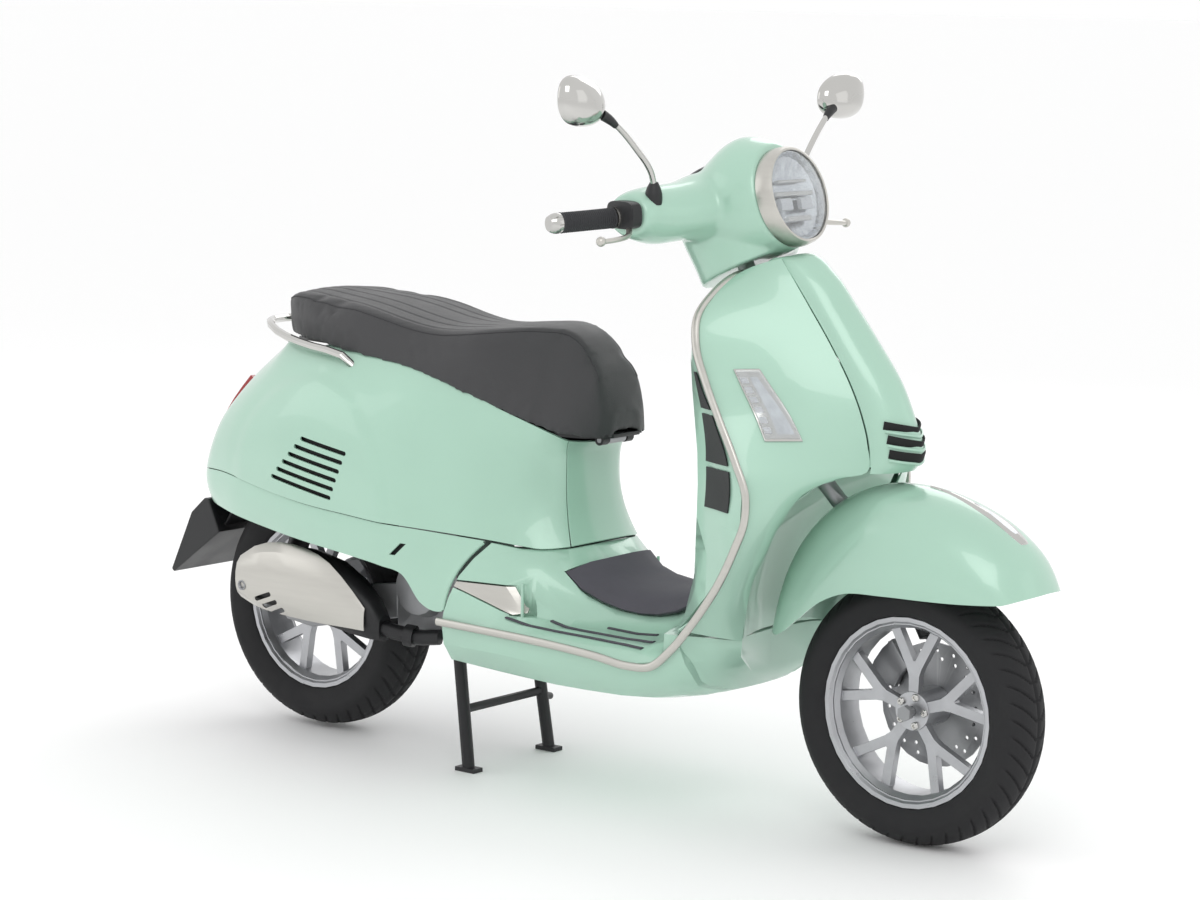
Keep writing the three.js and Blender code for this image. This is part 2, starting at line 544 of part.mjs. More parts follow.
// Rows of the left half of the shield's front, from the trim edge to the front edge.
const SHIELD_ROWS = [
  [[1031, 243, 360], [1058, 214, 352], [1082, 172, 341], [1096, 135, 333]],
  [[1084, 246, 402], [1101, 218, 398], [1113, 187, 394], [1115, 154, 390]],
  [[1116, 248, 447], [1130, 222, 446], [1138, 195, 445], [1134, 165, 444]],
  [[1152, 249, 517], [1164, 225, 513], [1170, 198, 508], [1164, 169, 502]],
  [[1172, 249, 571], [1189, 222, 570], [1199, 196, 568], [1197, 166, 566]],
  [[1172, 248, 610], [1198, 218, 612], [1220, 185, 614], [1229, 150, 613]],
  [[1162, 246, 642], [1202, 205, 645], [1240, 155, 645], [1266, 106, 637]],
  [[1146, 244, 670], [1195, 195, 672], [1248, 130, 668], [1297, 58, 648]],
  [[1128, 239, 701], [1181, 190, 702], [1237, 125, 701], [1294, 59, 696]],
  [[1104, 232, 737], [1161, 182, 741], [1221, 118, 741], [1281, 58, 737]],
  [[1062, 213, 793], [1123, 166, 797], [1187, 108, 797], [1254, 57, 793]],
  [[1020, 186, 856], [1080, 144, 862], [1143, 98, 864], [1210, 56, 860]],
  [[1004, 152, 915], [1055, 119, 924], [1108, 85, 926], [1160, 53, 924]],
  [[1018, 82, 966], [1044, 70, 982], [1070, 58, 993], [1097, 48, 1001]],
];
// Rows of the left half of the horn cover, from the ridge to the seam with the shield.
const HORN_ROWS = [
  [[1346, 0, 648], [1334, 30, 646], [1298, 57, 644]],
  [[1361, 0, 668], [1346, 32, 666], [1300, 57, 662]],
  [[1362, 0, 694], [1346, 32, 694], [1296, 57, 694]],
  [[1344, 0, 737], [1330, 32, 737], [1283, 56, 736]],
  [[1317, 0, 793], [1303, 32, 793], [1256, 55, 792]],
  [[1269, 0, 858], [1256, 31, 858], [1212, 54, 859]],
  [[1216, 0, 924], [1204, 29, 924], [1162, 51, 923]],
  [[1170, 0, 977], [1158, 27, 976], [1116, 47, 976]],
  [[1130, 0, 1006], [1118, 25, 1004], [1088, 43, 1000]],
  [[1066, 0, 988], [1062, 20, 986], [1052, 34, 980]],
];
// Columns of the left half of the inner shield, from the middle out to the trim, bottom to top.
const INNER_COLUMNS = [
  [[1014, 0, 434], [1014, 0, 470], [1015, 0, 550], [1016, 0, 655], [1004, 0, 742], [991, 0, 802],
    [975, 0, 860], [966, 0, 905], [980, 0, 938], [1030, 0, 968]],
  [[1014, 92, 431], [1014, 92, 470], [1015, 92, 550], [1016, 92, 655], [1004, 90, 742], [991, 88, 802],
    [975, 84, 860], [967, 76, 904], [981, 68, 934], [1024, 50, 963]],
  [[1016, 146, 408], [1016, 150, 468], [1018, 160, 549], [1019, 163, 654], [1007, 158, 741],
    [994, 151, 801], [979, 137, 859], [972, 118, 900], [984, 102, 926], [1018, 76, 956]],
  [[1022, 184, 384], [1024, 184, 462], [1029, 190, 547], [1031, 193, 653], [1018, 188, 740],
    [1004, 178, 799], [988, 158, 857], [982, 134, 896], [992, 116, 916], [1014, 92, 942]],
  [[1027, 220, 370], [1056, 218, 447], [1092, 222, 546], [1090, 222, 652], [1058, 214, 739],
    [1028, 198, 798], [998, 174, 856], [990, 150, 898], [996, 126, 920], [1014, 92, 946]],
  [[1032, 239, 363], [1104, 246, 443], [1160, 247, 540], [1154, 244, 651], [1098, 231, 738],
    [1052, 210, 797], [1012, 184, 855], [998, 158, 900], [1002, 124, 930], [1018, 76, 962]],
];
// Columns of the left half of the wheel-well liner behind the front wheel, bottom to top.
const LINER_COLUMNS = [
  [[1066, 0, 342], [1067, 0, 400], [1078, 0, 470], [1104, 0, 545], [1158, 0, 606], [1225, 0, 636], [1286, 0, 646]],
  [[1073, 60, 342], [1074, 64, 400], [1084, 70, 470], [1110, 72, 545], [1160, 72, 606], [1225, 60, 636], [1284, 26, 646]],
  [[1086, 108, 341], [1090, 114, 396], [1104, 124, 468], [1132, 125, 540], [1174, 122, 598], [1226, 96, 630], [1282, 42, 645]],
  [[1092, 128, 340], [1108, 144, 390], [1126, 156, 450], [1156, 158, 510], [1190, 155, 570], [1222, 138, 614], [1280, 52, 643]],
];
const halfSurface = (columns) => new Surface(columns.map((column) => column.map(bodyPoint)));
const fullSurface = (columns) => new Surface(bothHalves(columns.map((column) => column.map(bodyPoint))));
const transposed = (rows) => rows[0].map((_, j) => rows.map((row) => row[j]));
const shieldSurface = halfSurface(transposed(SHIELD_ROWS));
const shieldAcross = halfSurface(SHIELD_ROWS);
const hornSurface = fullSurface(transposed(HORN_ROWS));
const innerSurface = fullSurface(INNER_COLUMNS);
const linerSurface = fullSurface(LINER_COLUMNS);

const GLOVEBOX = { halfWidth: 118, low: 655, high: 822, gap: 3, lidThick: 9, deepLow: 1100, deepHigh: 1024, wall: 3 };
const GLOVE_HINGE = { x: 1021, z: 660 };

// A flat strip swept along a path, with its wide side tangent to the faces it borders.
function strip(path, outward, width, height, steps) {
  const curve = new THREE.CatmullRomCurve3(path, false, "centripetal");
  const rings = [];
  for (let i = 0; i <= steps; i++) {
    const t = i / steps;
    const centre = curve.getPoint(t);
    const tangent = curve.getTangent(t);
    const out = outward(t, centre).addScaledVector(tangent, -outward(t, centre).dot(tangent)).normalize();
    const side = tangent.clone().cross(out);
    const corner = (a, b) => centre.clone().addScaledVector(out, a * height / 2).addScaledVector(side, b * width / 2);
    rings.push([corner(1, 0.6), corner(0.5, 1), corner(-1, 1), corner(-1, -1), corner(0.5, -1), corner(1, -0.6)]);
  }
  return loft(rings);
}

function legShield() {
  const half = TRIM_LINE.map(bodyPoint);
  const path = [...half.map(mirrorPoint), ...half.slice(0, -1).reverse()];
  const outward = (t, centre) => {
    const top = THREE.MathUtils.smoothstep(centre.z, 760, 940);
    return at(0, Math.sign(centre.y || 1) * Math.min(1, Math.abs(centre.y) / 60), 0).multiplyScalar(1 - 0.55 * top)
      .add(at(0, 0, top));
  };
  const trim = strip(path, outward, TRIM.width, TRIM.height, TRIM.steps);
  const trimRoom = strip(path, outward, TRIM.width + 6 * GAP, TRIM.height + 6 * GAP, TRIM.steps);
  const shieldRoom = plate(shieldSurface,
    { u: [0, 1], v: [0, 1], steps: SHIELD_STEPS, thick: WALL + 2 * GAP, lift: GAP, flip: -1 });
  const panelRoom = plate(innerSurface,
    { u: [0, 1], v: [0, 1], steps: INNER_STEPS, thick: WALL + 4 * GAP, lift: 2 * GAP, flip: -1 });
  const shieldHalf = plate(shieldSurface, { u: [0.005, 0.995], v: [0.005, 1], steps: SHIELD_STEPS, flip: -1 });
  addPair("leg_shield", largest(cut(shieldHalf, trimRoom, panelRoom)), PAINT);
  add("horn_cover", plate(hornSurface, { u: [0.004, 0.996], v: [0, 1], steps: [6, 12], flip: 1 }), PAINT);
  const panel = plate(innerSurface, { u: [0, 1], v: [0, 1], steps: INNER_STEPS, flip: -1 });
  const column = rod(STEER_HEAD.clone().addScaledVector(STEER_UP, -600), STEER_HEAD, FORK_RADIUS + MOVING_GAP, 20);
  const box = gloveboxSolids();
  add("inner_shield", largest(cut(join(cut(panel, box.hole), box.bin),
    trimRoom, column, shieldRoom, mirrored(shieldRoom))), PAINT);
  add("glovebox_lid", box.lid, PAINT);
  add("shield_trim", trim, SATIN_METAL);
  const liner = plate(linerSurface, { u: [0, 1], v: [0, 1], steps: [8, 7], thick: 3, flip: 1 });
  add("wheel_well", cut(liner, column), BLACK_PLASTIC);
}

const INNER_STEPS = [14, 11];
const SHIELD_STEPS = [4, 14];
const innerRoom = () => plate(innerSurface,
  { u: [0, 1], v: [0, 1], steps: INNER_STEPS, thick: 16, lift: GAP, flip: -1 });

// The glovebox in the inner shield: the hole, the bin behind it and the lid that closes it.
function gloveboxSolids() {
  const { halfWidth, low, high, gap, lidThick, deepLow, deepHigh, wall } = GLOVEBOX;
  const hole = block(at(along(900), -halfWidth - gap, low - gap), at(along(1080), halfWidth + gap, high + gap));
  const window = block(at(along(900), -halfWidth, low), at(along(1080), halfWidth, high));
  const skin = (thick, lift) => plate(innerSurface,
    { u: [0, 1], v: [0, 1], steps: INNER_STEPS, thick, lift, flip: -1 });
  const hollow = (grow) => slab([[940 - grow, low - gap - 2], [940 - grow, high + gap + 2], [deepHigh, high + gap + 2],
    [deepLow, low - gap - 2]].map(([x, z], i) => [along(x + (i < 2 ? 0 : grow)), z + (i === 1 || i === 2 ? grow : -grow)]),
    -halfWidth - gap - 2 - grow, halfWidth + gap + 2 + grow);
  const bin = cut(hollow(wall), hollow(0), block(at(along(800), -200, 500), at(along(941), 200, 900)), skin(70, 70));
  const { x, z } = GLOVE_HINGE;
  const pin = (side) => rod(at(along(x), side * (halfWidth - 12), z), at(along(x), side * (halfWidth + gap + 3), z), 2, 10);
  const barrel = rod(at(along(x), -halfWidth, z), at(along(x), halfWidth, z), 4.5, 12);
  const bore = rod(at(along(x), -halfWidth - 1, z), at(along(x), halfWidth + 1, z), 2.5, 10);
  const lid = cut(join(largest(skin(lidThick, 0).intersect(window)), barrel), bore);
  return { hole, bin: join(bin, pin(1), pin(-1)), lid: largest(lid) };
}

// ---------------------------------------------------------------- seat and what is under it
// Stations of the seat from rear to nose: x, lip half-width and z, crease half-width and z, top z.
const SEAT_STATIONS = [
  [-50, 45, 777, 45, 838, 846], [-38, 78, 776, 80, 852, 858], [-14, 100, 776, 102, 862, 870],
  [30, 126, 775, 118, 866, 874], [80, 139, 773, 127, 863, 871], [130, 149, 767, 134, 859, 867],
  [180, 156, 761, 139, 855, 862], [230, 159, 758, 141, 847, 854], [280, 160, 752, 139, 837, 844],
  [330, 162, 744, 136, 828, 835], [380, 163, 732, 134, 824, 831], [430, 162, 719, 133, 826, 833],
  [480, 156, 703, 130, 831, 838], [530, 149, 687, 113, 836, 843], [580, 141, 670, 82, 839, 845],
  [602, 138, 664, 69, 838, 844], [620, 131, 658, 58, 837, 842], [655, 124, 649, 50, 822, 827], [690, 108, 644, 52, 787, 790],
  [715, 86, 642, 58, 748, 751], [730, 62, 643, 56, 700, 703], [742, 24, 645, 24, 676, 679],
];
const SEAT_BASE_THICK = 7;
const LID_GAP = 3; // between the lid and what it closes on
const HINGE = { rod: 5, halfLength: 46, knuckle: 10, bracketHalf: 24 };

// Half-width of the side panel at a place along it and a height.
function shoulder(x, z) {
  const columns = rearHalf.slice(2, -1);
  const widthAt = (column) => {
    const k = Math.max(1, column.findIndex((p) => p.z >= z));
    const share = THREE.MathUtils.clamp((z - column[k - 1].z) / (column[k].z - column[k - 1].z), 0, 1);
    return z > column.at(-1).z ? column.at(-1).y : THREE.MathUtils.lerp(column[k - 1].y, column[k].y, share);
  };
  const k = columns.findIndex((column) => column[4].x >= x);
  if (k < 1) return widthAt(k === 0 ? columns[0] : columns.at(-1));
  const [before, after] = [columns[k - 1], columns[k]];
  return THREE.MathUtils.lerp(widthAt(before), widthAt(after), (x - before[4].x) / (after[4].x - before[4].x));
}

// Underside of the seat: clear of the rim, and a little above the lip where that is higher.
const seatRoof = (x, zb) => Math.max(rimHeight(x) + LID_GAP + SEAT_BASE_THICK + GAP, zb + 2,
  x > SEAT_HINGE.x - 50 ? SEAT_HINGE.z + HINGE.knuckle + 3 : 0);

function seatRing([x, wb, zb, wc, zc, zt]) {
  const roof = seatRoof(x, zb);
  const inside = (z) => Math.min(wb - 2.5, Math.max(shoulder(x, z) + LID_GAP + 2, wb - 14));
  const under = Math.min(zb + 12, (roof + zb) / 2);
  const half = [[0, zt], [0.5 * wc, zt - 0.2 * (zt - zc)], [0.85 * wc, THREE.MathUtils.lerp(zt, zc, 0.62)], [wc, zc],
    [THREE.MathUtils.lerp(wc, wb, 0.5) + 3, THREE.MathUtils.lerp(zc, zb, 0.45)], [wb, zb + 9],
    [inside(zb), zb], [inside(under), under], [inside(roof), roof], [0, roof]];
  return wholeRing(half.map(([y, z]) => bodyPoint([x, y, z])));
}

function seat() {
  add("seat_cushion", loft(SEAT_STATIONS.map(seatRing)), SEAT_VINYL);
  const baseRing = ([x, wb, zb]) => {
    const top = seatRoof(x, zb) - GAP;
    return wholeRing([[0, top], [wb - 24, top], [wb - 24, top - SEAT_BASE_THICK], [0, top - SEAT_BASE_THICK]]
      .map(([y, z]) => bodyPoint([x, y, z])));
  };
  const pan = loft(SEAT_STATIONS.slice(1, -1).map(baseRing));
  const { x, z } = SEAT_HINGE;
  const knuckle = (side) => join(
    rod(at(x, side * (HINGE.bracketHalf + 3), z), at(x, side * HINGE.halfLength, z), HINGE.knuckle, 16),
    block(at(x - 7, Math.min(side * (HINGE.bracketHalf + 3), side * HINGE.halfLength), z),
      at(x + 7, Math.max(side * (HINGE.bracketHalf + 3), side * HINGE.halfLength), z + 11)));
  const pivotRod = rod(at(x, -HINGE.halfLength - 2, z), at(x, HINGE.halfLength + 2, z), HINGE.rod + BEARING_GAP, 16);
  const half = HINGE.bracketHalf;
  const notch = block(at(x - 44, -half - 2, z - 20), at(x + 14, half + 2, z + 2 * HINGE.knuckle));
  add("seat_base", cut(join(pan, knuckle(1), knuckle(-1)), pivotRod, notch), BLACK_PLASTIC);
  const foot = block(at(x - 64, -half, z - 2), at(x, half, z + 3));
  const boss = rod(at(x, -half, z), at(x, half, z), HINGE.knuckle - 1, 16);
  const hinge = join(foot, boss, rod(at(x, -HINGE.halfLength, z), at(x, HINGE.halfLength, z), HINGE.rod, 16));
  add("seat_hinge", hinge, STEEL);
}

const BUCKET = { from: 140, to: 622, floor: 508, wall: 3, clear: 8, narrowing: 14 };

function storageBucket() {
  const stations = Array.from({ length: 9 }, (_, i) => THREE.MathUtils.lerp(BUCKET.from, BUCKET.to, i / 8));
  const ring = (inset, z) => {
    const side = stations.map((x, i) => {
      const along_x = x + inset * (i === 0 ? 1 : i === 8 ? -1 : 0);
      const round = i === 0 || i === 8 ? 22 : 0;
      return at(along_x, insideHalfWidth(x) - BUCKET.clear - inset - round, z(x));
    });
    return [...side, ...side.map(mirrorPoint).reverse()];
  };
  const top = (x) => rimHeight(x) - LID_GAP - SEAT_BASE_THICK;
  const outer = loft([ring(BUCKET.narrowing, () => BUCKET.floor), ring(0, (x) => top(x))]);
  const { wall, narrowing } = BUCKET;
  const inner = loft([ring(narrowing + wall, () => BUCKET.floor + wall), ring(wall, (x) => top(x) + 1)]);
  add("storage_bucket", cut(outer, inner), BLACK_PLASTIC);
}

const RAIL = { radius: 8 };
function grabRail() {
  const half = [[206, 154, 738], [196, 166, 754], [178, 169, 766], [143, 165, 771], [90, 157, 775], [26, 144, 783],
    [-22, 128, 791], [-68, 102, 801], [-102, 66, 804], [-124, 28, 803], [-128, 0, 803]].map(bodyPoint);
  const path = [...half, ...half.slice(0, -1).reverse().map(mirrorPoint)];
  const room = sidePanelRoom(40);
  add("grab_rail", largest(cut(tube(path, RAIL.radius, 8, 20), room, mirrored(room))), CHROME);
}

// ---------------------------------------------------------------- tail
function tail() {
  const lens = plate(rearSide, {
    u: [rearU(-1), (rearU(-1) + rearU(0)) / 2, rearU(0), (rearU(0) + rearU(1)) / 2, rearU(1)],
    v: [2 / 6, 4.5 / 6], steps: [0, 5], thick: 12, lift: 13, flip: -1,
  });
  add("tail_light", lens, RED_LENS);
  const arch = [];
  const radius = REAR_TYRE_RADIUS + 20;
  const turnAt = (degrees, r) => [REAR_AXLE.x + r * Math.cos(THREE.MathUtils.degToRad(degrees)),
    REAR_AXLE.z + r * Math.sin(THREE.MathUtils.degToRad(degrees))];
  for (let d = 30; d <= 150; d += 10) arch.push(turnAt(d, radius));
  for (let d = 150; d >= 30; d -= 10) arch.push(turnAt(d, radius + 4));
  const guard = slab(arch, -REAR_TYRE_HALF_WIDTH - 1, REAR_TYRE_HALF_WIDTH + 1);
  const panel = [[-222, 372], [-252, 436], [-264, 436], [-300, 404], [REAR_END_X, 282], [-350, 276], [-290, 320]];
  const board = slab(panel, -88, 88, 2);
  add("rear_mudguard", join(guard, board), BLACK_PLASTIC);
}

// ---------------------------------------------------------------- engine unit
const ENGINE = { rear: REAR_TYRE_RADIUS + 18, front: 408, right: -95, left: 75, low: 236, high: 492 };
const CASE = { inner: 82, outer: 150 };
const ARM = { inner: -84, outer: -96 };
const SHOCK = { radius: 21, y: 93, top: [66, 560], bottomLeft: [-8, 352], bottomRight: [-8, 352] };

function engineUnit() {
  const box = block(at(ENGINE.rear, ENGINE.right, ENGINE.low), at(ENGINE.front, ENGINE.left, ENGINE.high));
  const cover = rod(at(328, ENGINE.right + 1, 330), at(328, ENGINE.right - 26, 330), 58, 24, 50);
  const ear = (y) => slab([[ENGINE.front - 30, ENGINE.low], [ENGINE.front - 30, 262], [ENGINE.front + 10, 262],
    [STAND_PIVOT.x + 18, STAND_PIVOT.z + 12], [STAND_PIVOT.x + 18, STAND_PIVOT.z - 14],
    [STAND_PIVOT.x - 16, STAND_PIVOT.z - 18]], y - 6, y + 6);
  const pivotHole = rod(at(STAND_PIVOT.x, -120, STAND_PIVOT.z), at(STAND_PIVOT.x, 120, STAND_PIVOT.z),
    STAND_RADIUS + BEARING_GAP, 24);
  add("engine_block", cut(join(box, cover, ear(-62), ear(62)), pivotHole), ALLOY);

  const outline = [];
  const arc = (cx, cz, r, from, to) => {
    for (let d = from; d <= to; d += 15)
      outline.push([cx + r * Math.cos(THREE.MathUtils.degToRad(d)), cz + r * Math.sin(THREE.MathUtils.degToRad(d))]);
  };
  arc(REAR_AXLE.x, REAR_AXLE.z, 78, 90, 255);
  arc(300, 300, 86, -75, 90);
  add("transmission_case", slab(outline, CASE.inner, CASE.outer, 6), ALLOY);

  const { x, z } = REAR_AXLE;
  const arm = slab([[x - 30, z - 26], [x + 40, z - 34], [ENGINE.rear - GAP, 262], [ENGINE.rear - GAP, 330],
    [x + 60, z + 50], [x + 14, z + 78], [x - 20, z + 78], [x - 38, z + 10]], ARM.outer, ARM.inner, 2);
  const axle = rod(at(x, ARM.outer - 8, z), at(x, CASE.inner - GAP, z), AXLE_RADIUS, 24);
  add("rear_arm", join(arm, axle), ALLOY);

  const beam = block(at(46, -176, 566), at(92, 176, 586));
  add("shock_beam", beam, STEEL);
  for (const [name, side, [bx, bz]] of [["left", 1, SHOCK.bottomLeft], ["right", -1, SHOCK.bottomRight]]) {
    const low = at(bx, side * SHOCK.y, bz);
    const high = at(SHOCK.top[0], side * SHOCK.y, SHOCK.top[1]);
    const length = high.distanceTo(low);
    const profile = [[0, -14], [9, -14], [9, 12], [SHOCK.radius, 16], [SHOCK.radius, length * 0.72],
      [13, length * 0.76], [13, length], [0, length]];
    add(`rear_shock_${name}`, turned(profile, placed(low, high.clone().sub(low)), 16), BLACK_PLASTIC);
  }
}

// Right-hand silencer: stations x, centre y, low z, high z, half-width.
const SILENCER = [
  [-88, -152, 292, 334, 24], [-72, -152, 276, 352, 34], [-40, -152, 264, 370, 38], [20, -153, 256, 384, 40],
  [90, -153, 248, 384, 41], [160, -153, 238, 370, 40], [215, -152, 230, 340, 36], [256, -150, 226, 306, 28],
  [276, -148, 226, 276, 18],
];
const silencerPoint = ([x, y, low, high, half], angle, grow = 0) => {
  const squareness = 0.75;
  const [c, s] = [Math.cos(angle), Math.sin(angle)];
  const round = (value) => Math.sign(value) * Math.abs(value) ** squareness;
  return at(x, y + (half + grow) * round(c), (low + high) / 2 + ((high - low) / 2 + grow) * round(s));
};

function exhaust() {
  const sides = 12;
  const ring = (station) => Array.from({ length: sides }, (_, i) => silencerPoint(station, (2 * Math.PI * i) / sides));
  const pipe = tube([at(262, -148, 252), at(300, -142, 246), at(340, -128, 240), at(384, -113, 244)], 15, 10, 8);
  const clamp = rod(at(318, -136, 243), at(336, -130, 241), 21, 16);
  add("silencer", join(loft(SILENCER.map(ring)), pipe, clamp), STEEL);
  const covered = SILENCER.slice(1, 8);
  const from = [0.7, 0.62, 0.6, 0.62, 0.68, 0.76, 0.86];
  const to = [1.32, 1.38, 1.36, 1.3, 1.22, 1.14, 1.08];
  const columns = covered.map((station, i) => Array.from({ length: 6 }, (_, j) =>
    silencerPoint(station, Math.PI * THREE.MathUtils.lerp(from[i], to[i], j / 5), 9)));
  add("heat_shield", plate(new Surface(columns), { u: [0, 1], v: [0, 1], steps: [10, 6], thick: 3, lift: 0, flip: -1 }),
    SATIN_METAL);
}

// ---------------------------------------------------------------- centre stand
const STAND = { legY: 112, footAhead: 34, pad: [46, 26, 8] };
function centreStand() {
  const pivot = (y) => at(STAND_PIVOT.x, y, STAND_PIVOT.z);
  const foot = (side) => at(STAND_PIVOT.x + STAND.footAhead, side * (STAND.legY + 8), STAND.pad[2] / 2);
  const leg = (side) => rod(pivot(side * STAND.legY), foot(side), STAND_RADIUS, 12);
  const pad = (side) => {
    const [length, width, thick] = STAND.pad;
    const middle = foot(side);
    return block(at(middle.x - length / 2, middle.y - width / 2, 0), at(middle.x + length / 2, middle.y + width / 2, thick));
  };
  const halfway = (side) => pivot(side * STAND.legY).lerp(foot(side), 0.5);
  const cross = rod(pivot(-STAND.legY - STAND_RADIUS), pivot(STAND.legY + STAND_RADIUS), STAND_RADIUS, 24);
  const brace = rod(halfway(-1), halfway(1), STAND_RADIUS * 0.7, 10);
  const lever = tube([halfway(1), halfway(1).add(at(-14, 26, -14)), halfway(1).add(at(-20, 52, -22))], 7, 10, 8);
  const sole = block(at(0, -300, -100), at(900, 300, 0));
  add("centre_stand", cut(join(leg(1), leg(-1), pad(1), pad(-1), cross, brace, lever), sole), STEEL);
}

// ---------------------------------------------------------------- wheels
const RIM = { flange: 5, beadDepth: 14, barrel: 7, frontHalfWidth: 46, rearHalfWidth: 49 };

function tyre(name, axle, radius, halfWidth, rimHalfWidth) {
  const w = halfWidth;
  const bead = rimHalfWidth - RIM.flange - GAP;
  const seat = RIM_RADIUS - RIM.beadDepth + GAP;
  const side = [[radius - 4, 0.45 * w], [radius - 17, 0.78 * w], [radius - 34, w], [radius - 52, 0.95 * w],
    [RIM_RADIUS + GAP, rimHalfWidth], [RIM_RADIUS + GAP, bead], [seat, bead]];
  const ring = [[radius, 0], ...side, ...side.map(([r, y]) => [r, -y]).reverse(), [radius, 0]];
  add(name, turned(ring, placed(axle, at(0, 1, 0)), WHEEL_SIDES), TYRE);
}

const SPOKE_COUNT = 5;
const WHEEL_SIDES = 32;
const SPOKE_END = RIM_RADIUS - RIM.beadDepth - RIM.barrel / 2;
function rim(name, axle, halfWidth, hubLeft, boreRadius) {
  const w = halfWidth;
  const seat = RIM_RADIUS - RIM.beadDepth;
  const side = [[seat, w - RIM.flange], [RIM_RADIUS, w - RIM.flange], [RIM_RADIUS, w], [RIM_RADIUS - 8, w],
    [seat - RIM.barrel, w - 18]];
  const barrel = [...side, ...side.map(([r, y]) => [r, -y]).reverse(), side[0]];
  const middle = placed(axle, at(0, 1, 0));
  const hub = rod(axle.clone().add(at(0, -0.55 * w, 0)), axle.clone().add(at(0, hubLeft, 0)), 34, 24);
  let wheel = join(turned(barrel, middle, WHEEL_SIDES), hub);
  for (let i = 0; i < SPOKE_COUNT; i++) {
    const turn = (2 * Math.PI * i) / SPOKE_COUNT;
    const polar = (r, a) => [axle.x + r * Math.sin(turn + a), axle.z + r * Math.cos(turn + a)];
    const stem = [polar(28, -0.35), polar(62, -0.17), polar(76, -0.2), polar(SPOKE_END, -0.34),
      polar(SPOKE_END, -0.22), polar(88, -0.02), polar(88, 0.02), polar(SPOKE_END, 0.22),
      polar(SPOKE_END, 0.34), polar(76, 0.2), polar(62, 0.17), polar(28, 0.35)];
    wheel = join(wheel, slab(stem, axle.y - 0.5 * w, axle.y - 0.15 * w));
  }
  const bore = rod(axle.clone().add(at(0, -200, 0)), axle.clone().add(at(0, 200, 0)), boreRadius, 16);
  add(name, cut(wheel, bore), GRAPHITE);
}

const DISC = { radius: 110, thick: 4, y: 50 };
function wheels() {
  tyre("front_tyre", FRONT_AXLE, FRONT_TYRE_RADIUS, FRONT_TYRE_HALF_WIDTH, RIM.frontHalfWidth);
  rim("front_rim", FRONT_AXLE, RIM.frontHalfWidth, DISC.y - GAP, AXLE_RADIUS + BEARING_GAP);
  const y = DISC.y;
  const disc = [[52, y], [DISC.radius, y], [DISC.radius, y + DISC.thick], [52, y + DISC.thick],
    [40, y + 14], [AXLE_RADIUS + BEARING_GAP, y + 14], [AXLE_RADIUS + BEARING_GAP, y], [52, y]];
  add("front_disc", turned(disc, placed(FRONT_AXLE, at(0, 1, 0)), 24), STEEL);
  tyre("rear_tyre", REAR_AXLE, REAR_TYRE_RADIUS, REAR_TYRE_HALF_WIDTH, RIM.rearHalfWidth);
  rim("rear_rim", REAR_AXLE, RIM.rearHalfWidth, CASE.inner - MOVING_GAP - 4, AXLE_RADIUS + BEARING_GAP);
}

// ---------------------------------------------------------------- front fork
const LINK = { pivotAhead: 76, pivotDrop: 12, inner: 74, outer: 98 };
// Columns of the fender from its front tip to its rear tip: ridge to lower edge, left half.
const FENDER_COLUMNS = [
  [[1624, 0, 470], [1620, 40, 468], [1606, 72, 463], [1586, 92, 456]],
  [[1600, 0, 522], [1594, 50, 512], [1576, 86, 492], [1556, 102, 454]],
  [[1548, 0, 569], [1543, 58, 553], [1528, 98, 516], [1508, 108, 451]],
  [[1468, 0, 606], [1465, 61, 589], [1457, 104, 543], [1448, 112, 449]],
  [[1372, 0, 626], [1372, 62, 607], [1370, 105, 555], [1366, 113, 447]],
  [[1288, 0, 619], [1288, 61, 599], [1287, 102, 547], [1286, 110, 441]],
  [[1216, 0, 585], [1218, 57, 568], [1223, 96, 522], [1230, 104, 417]],
  [[1160, 0, 528], [1163, 53, 514], [1173, 88, 474], [1187, 97, 384]],
  [[1120, 0, 450], [1124, 49, 440], [1135, 80, 412], [1148, 90, 354]],
  [[1102, 0, 360], [1105, 45, 356], [1114, 71, 351], [1127, 83, 345]],
];
const fenderPoint = ([x, y, z]) => at(x + LENGTHENING, y, z);

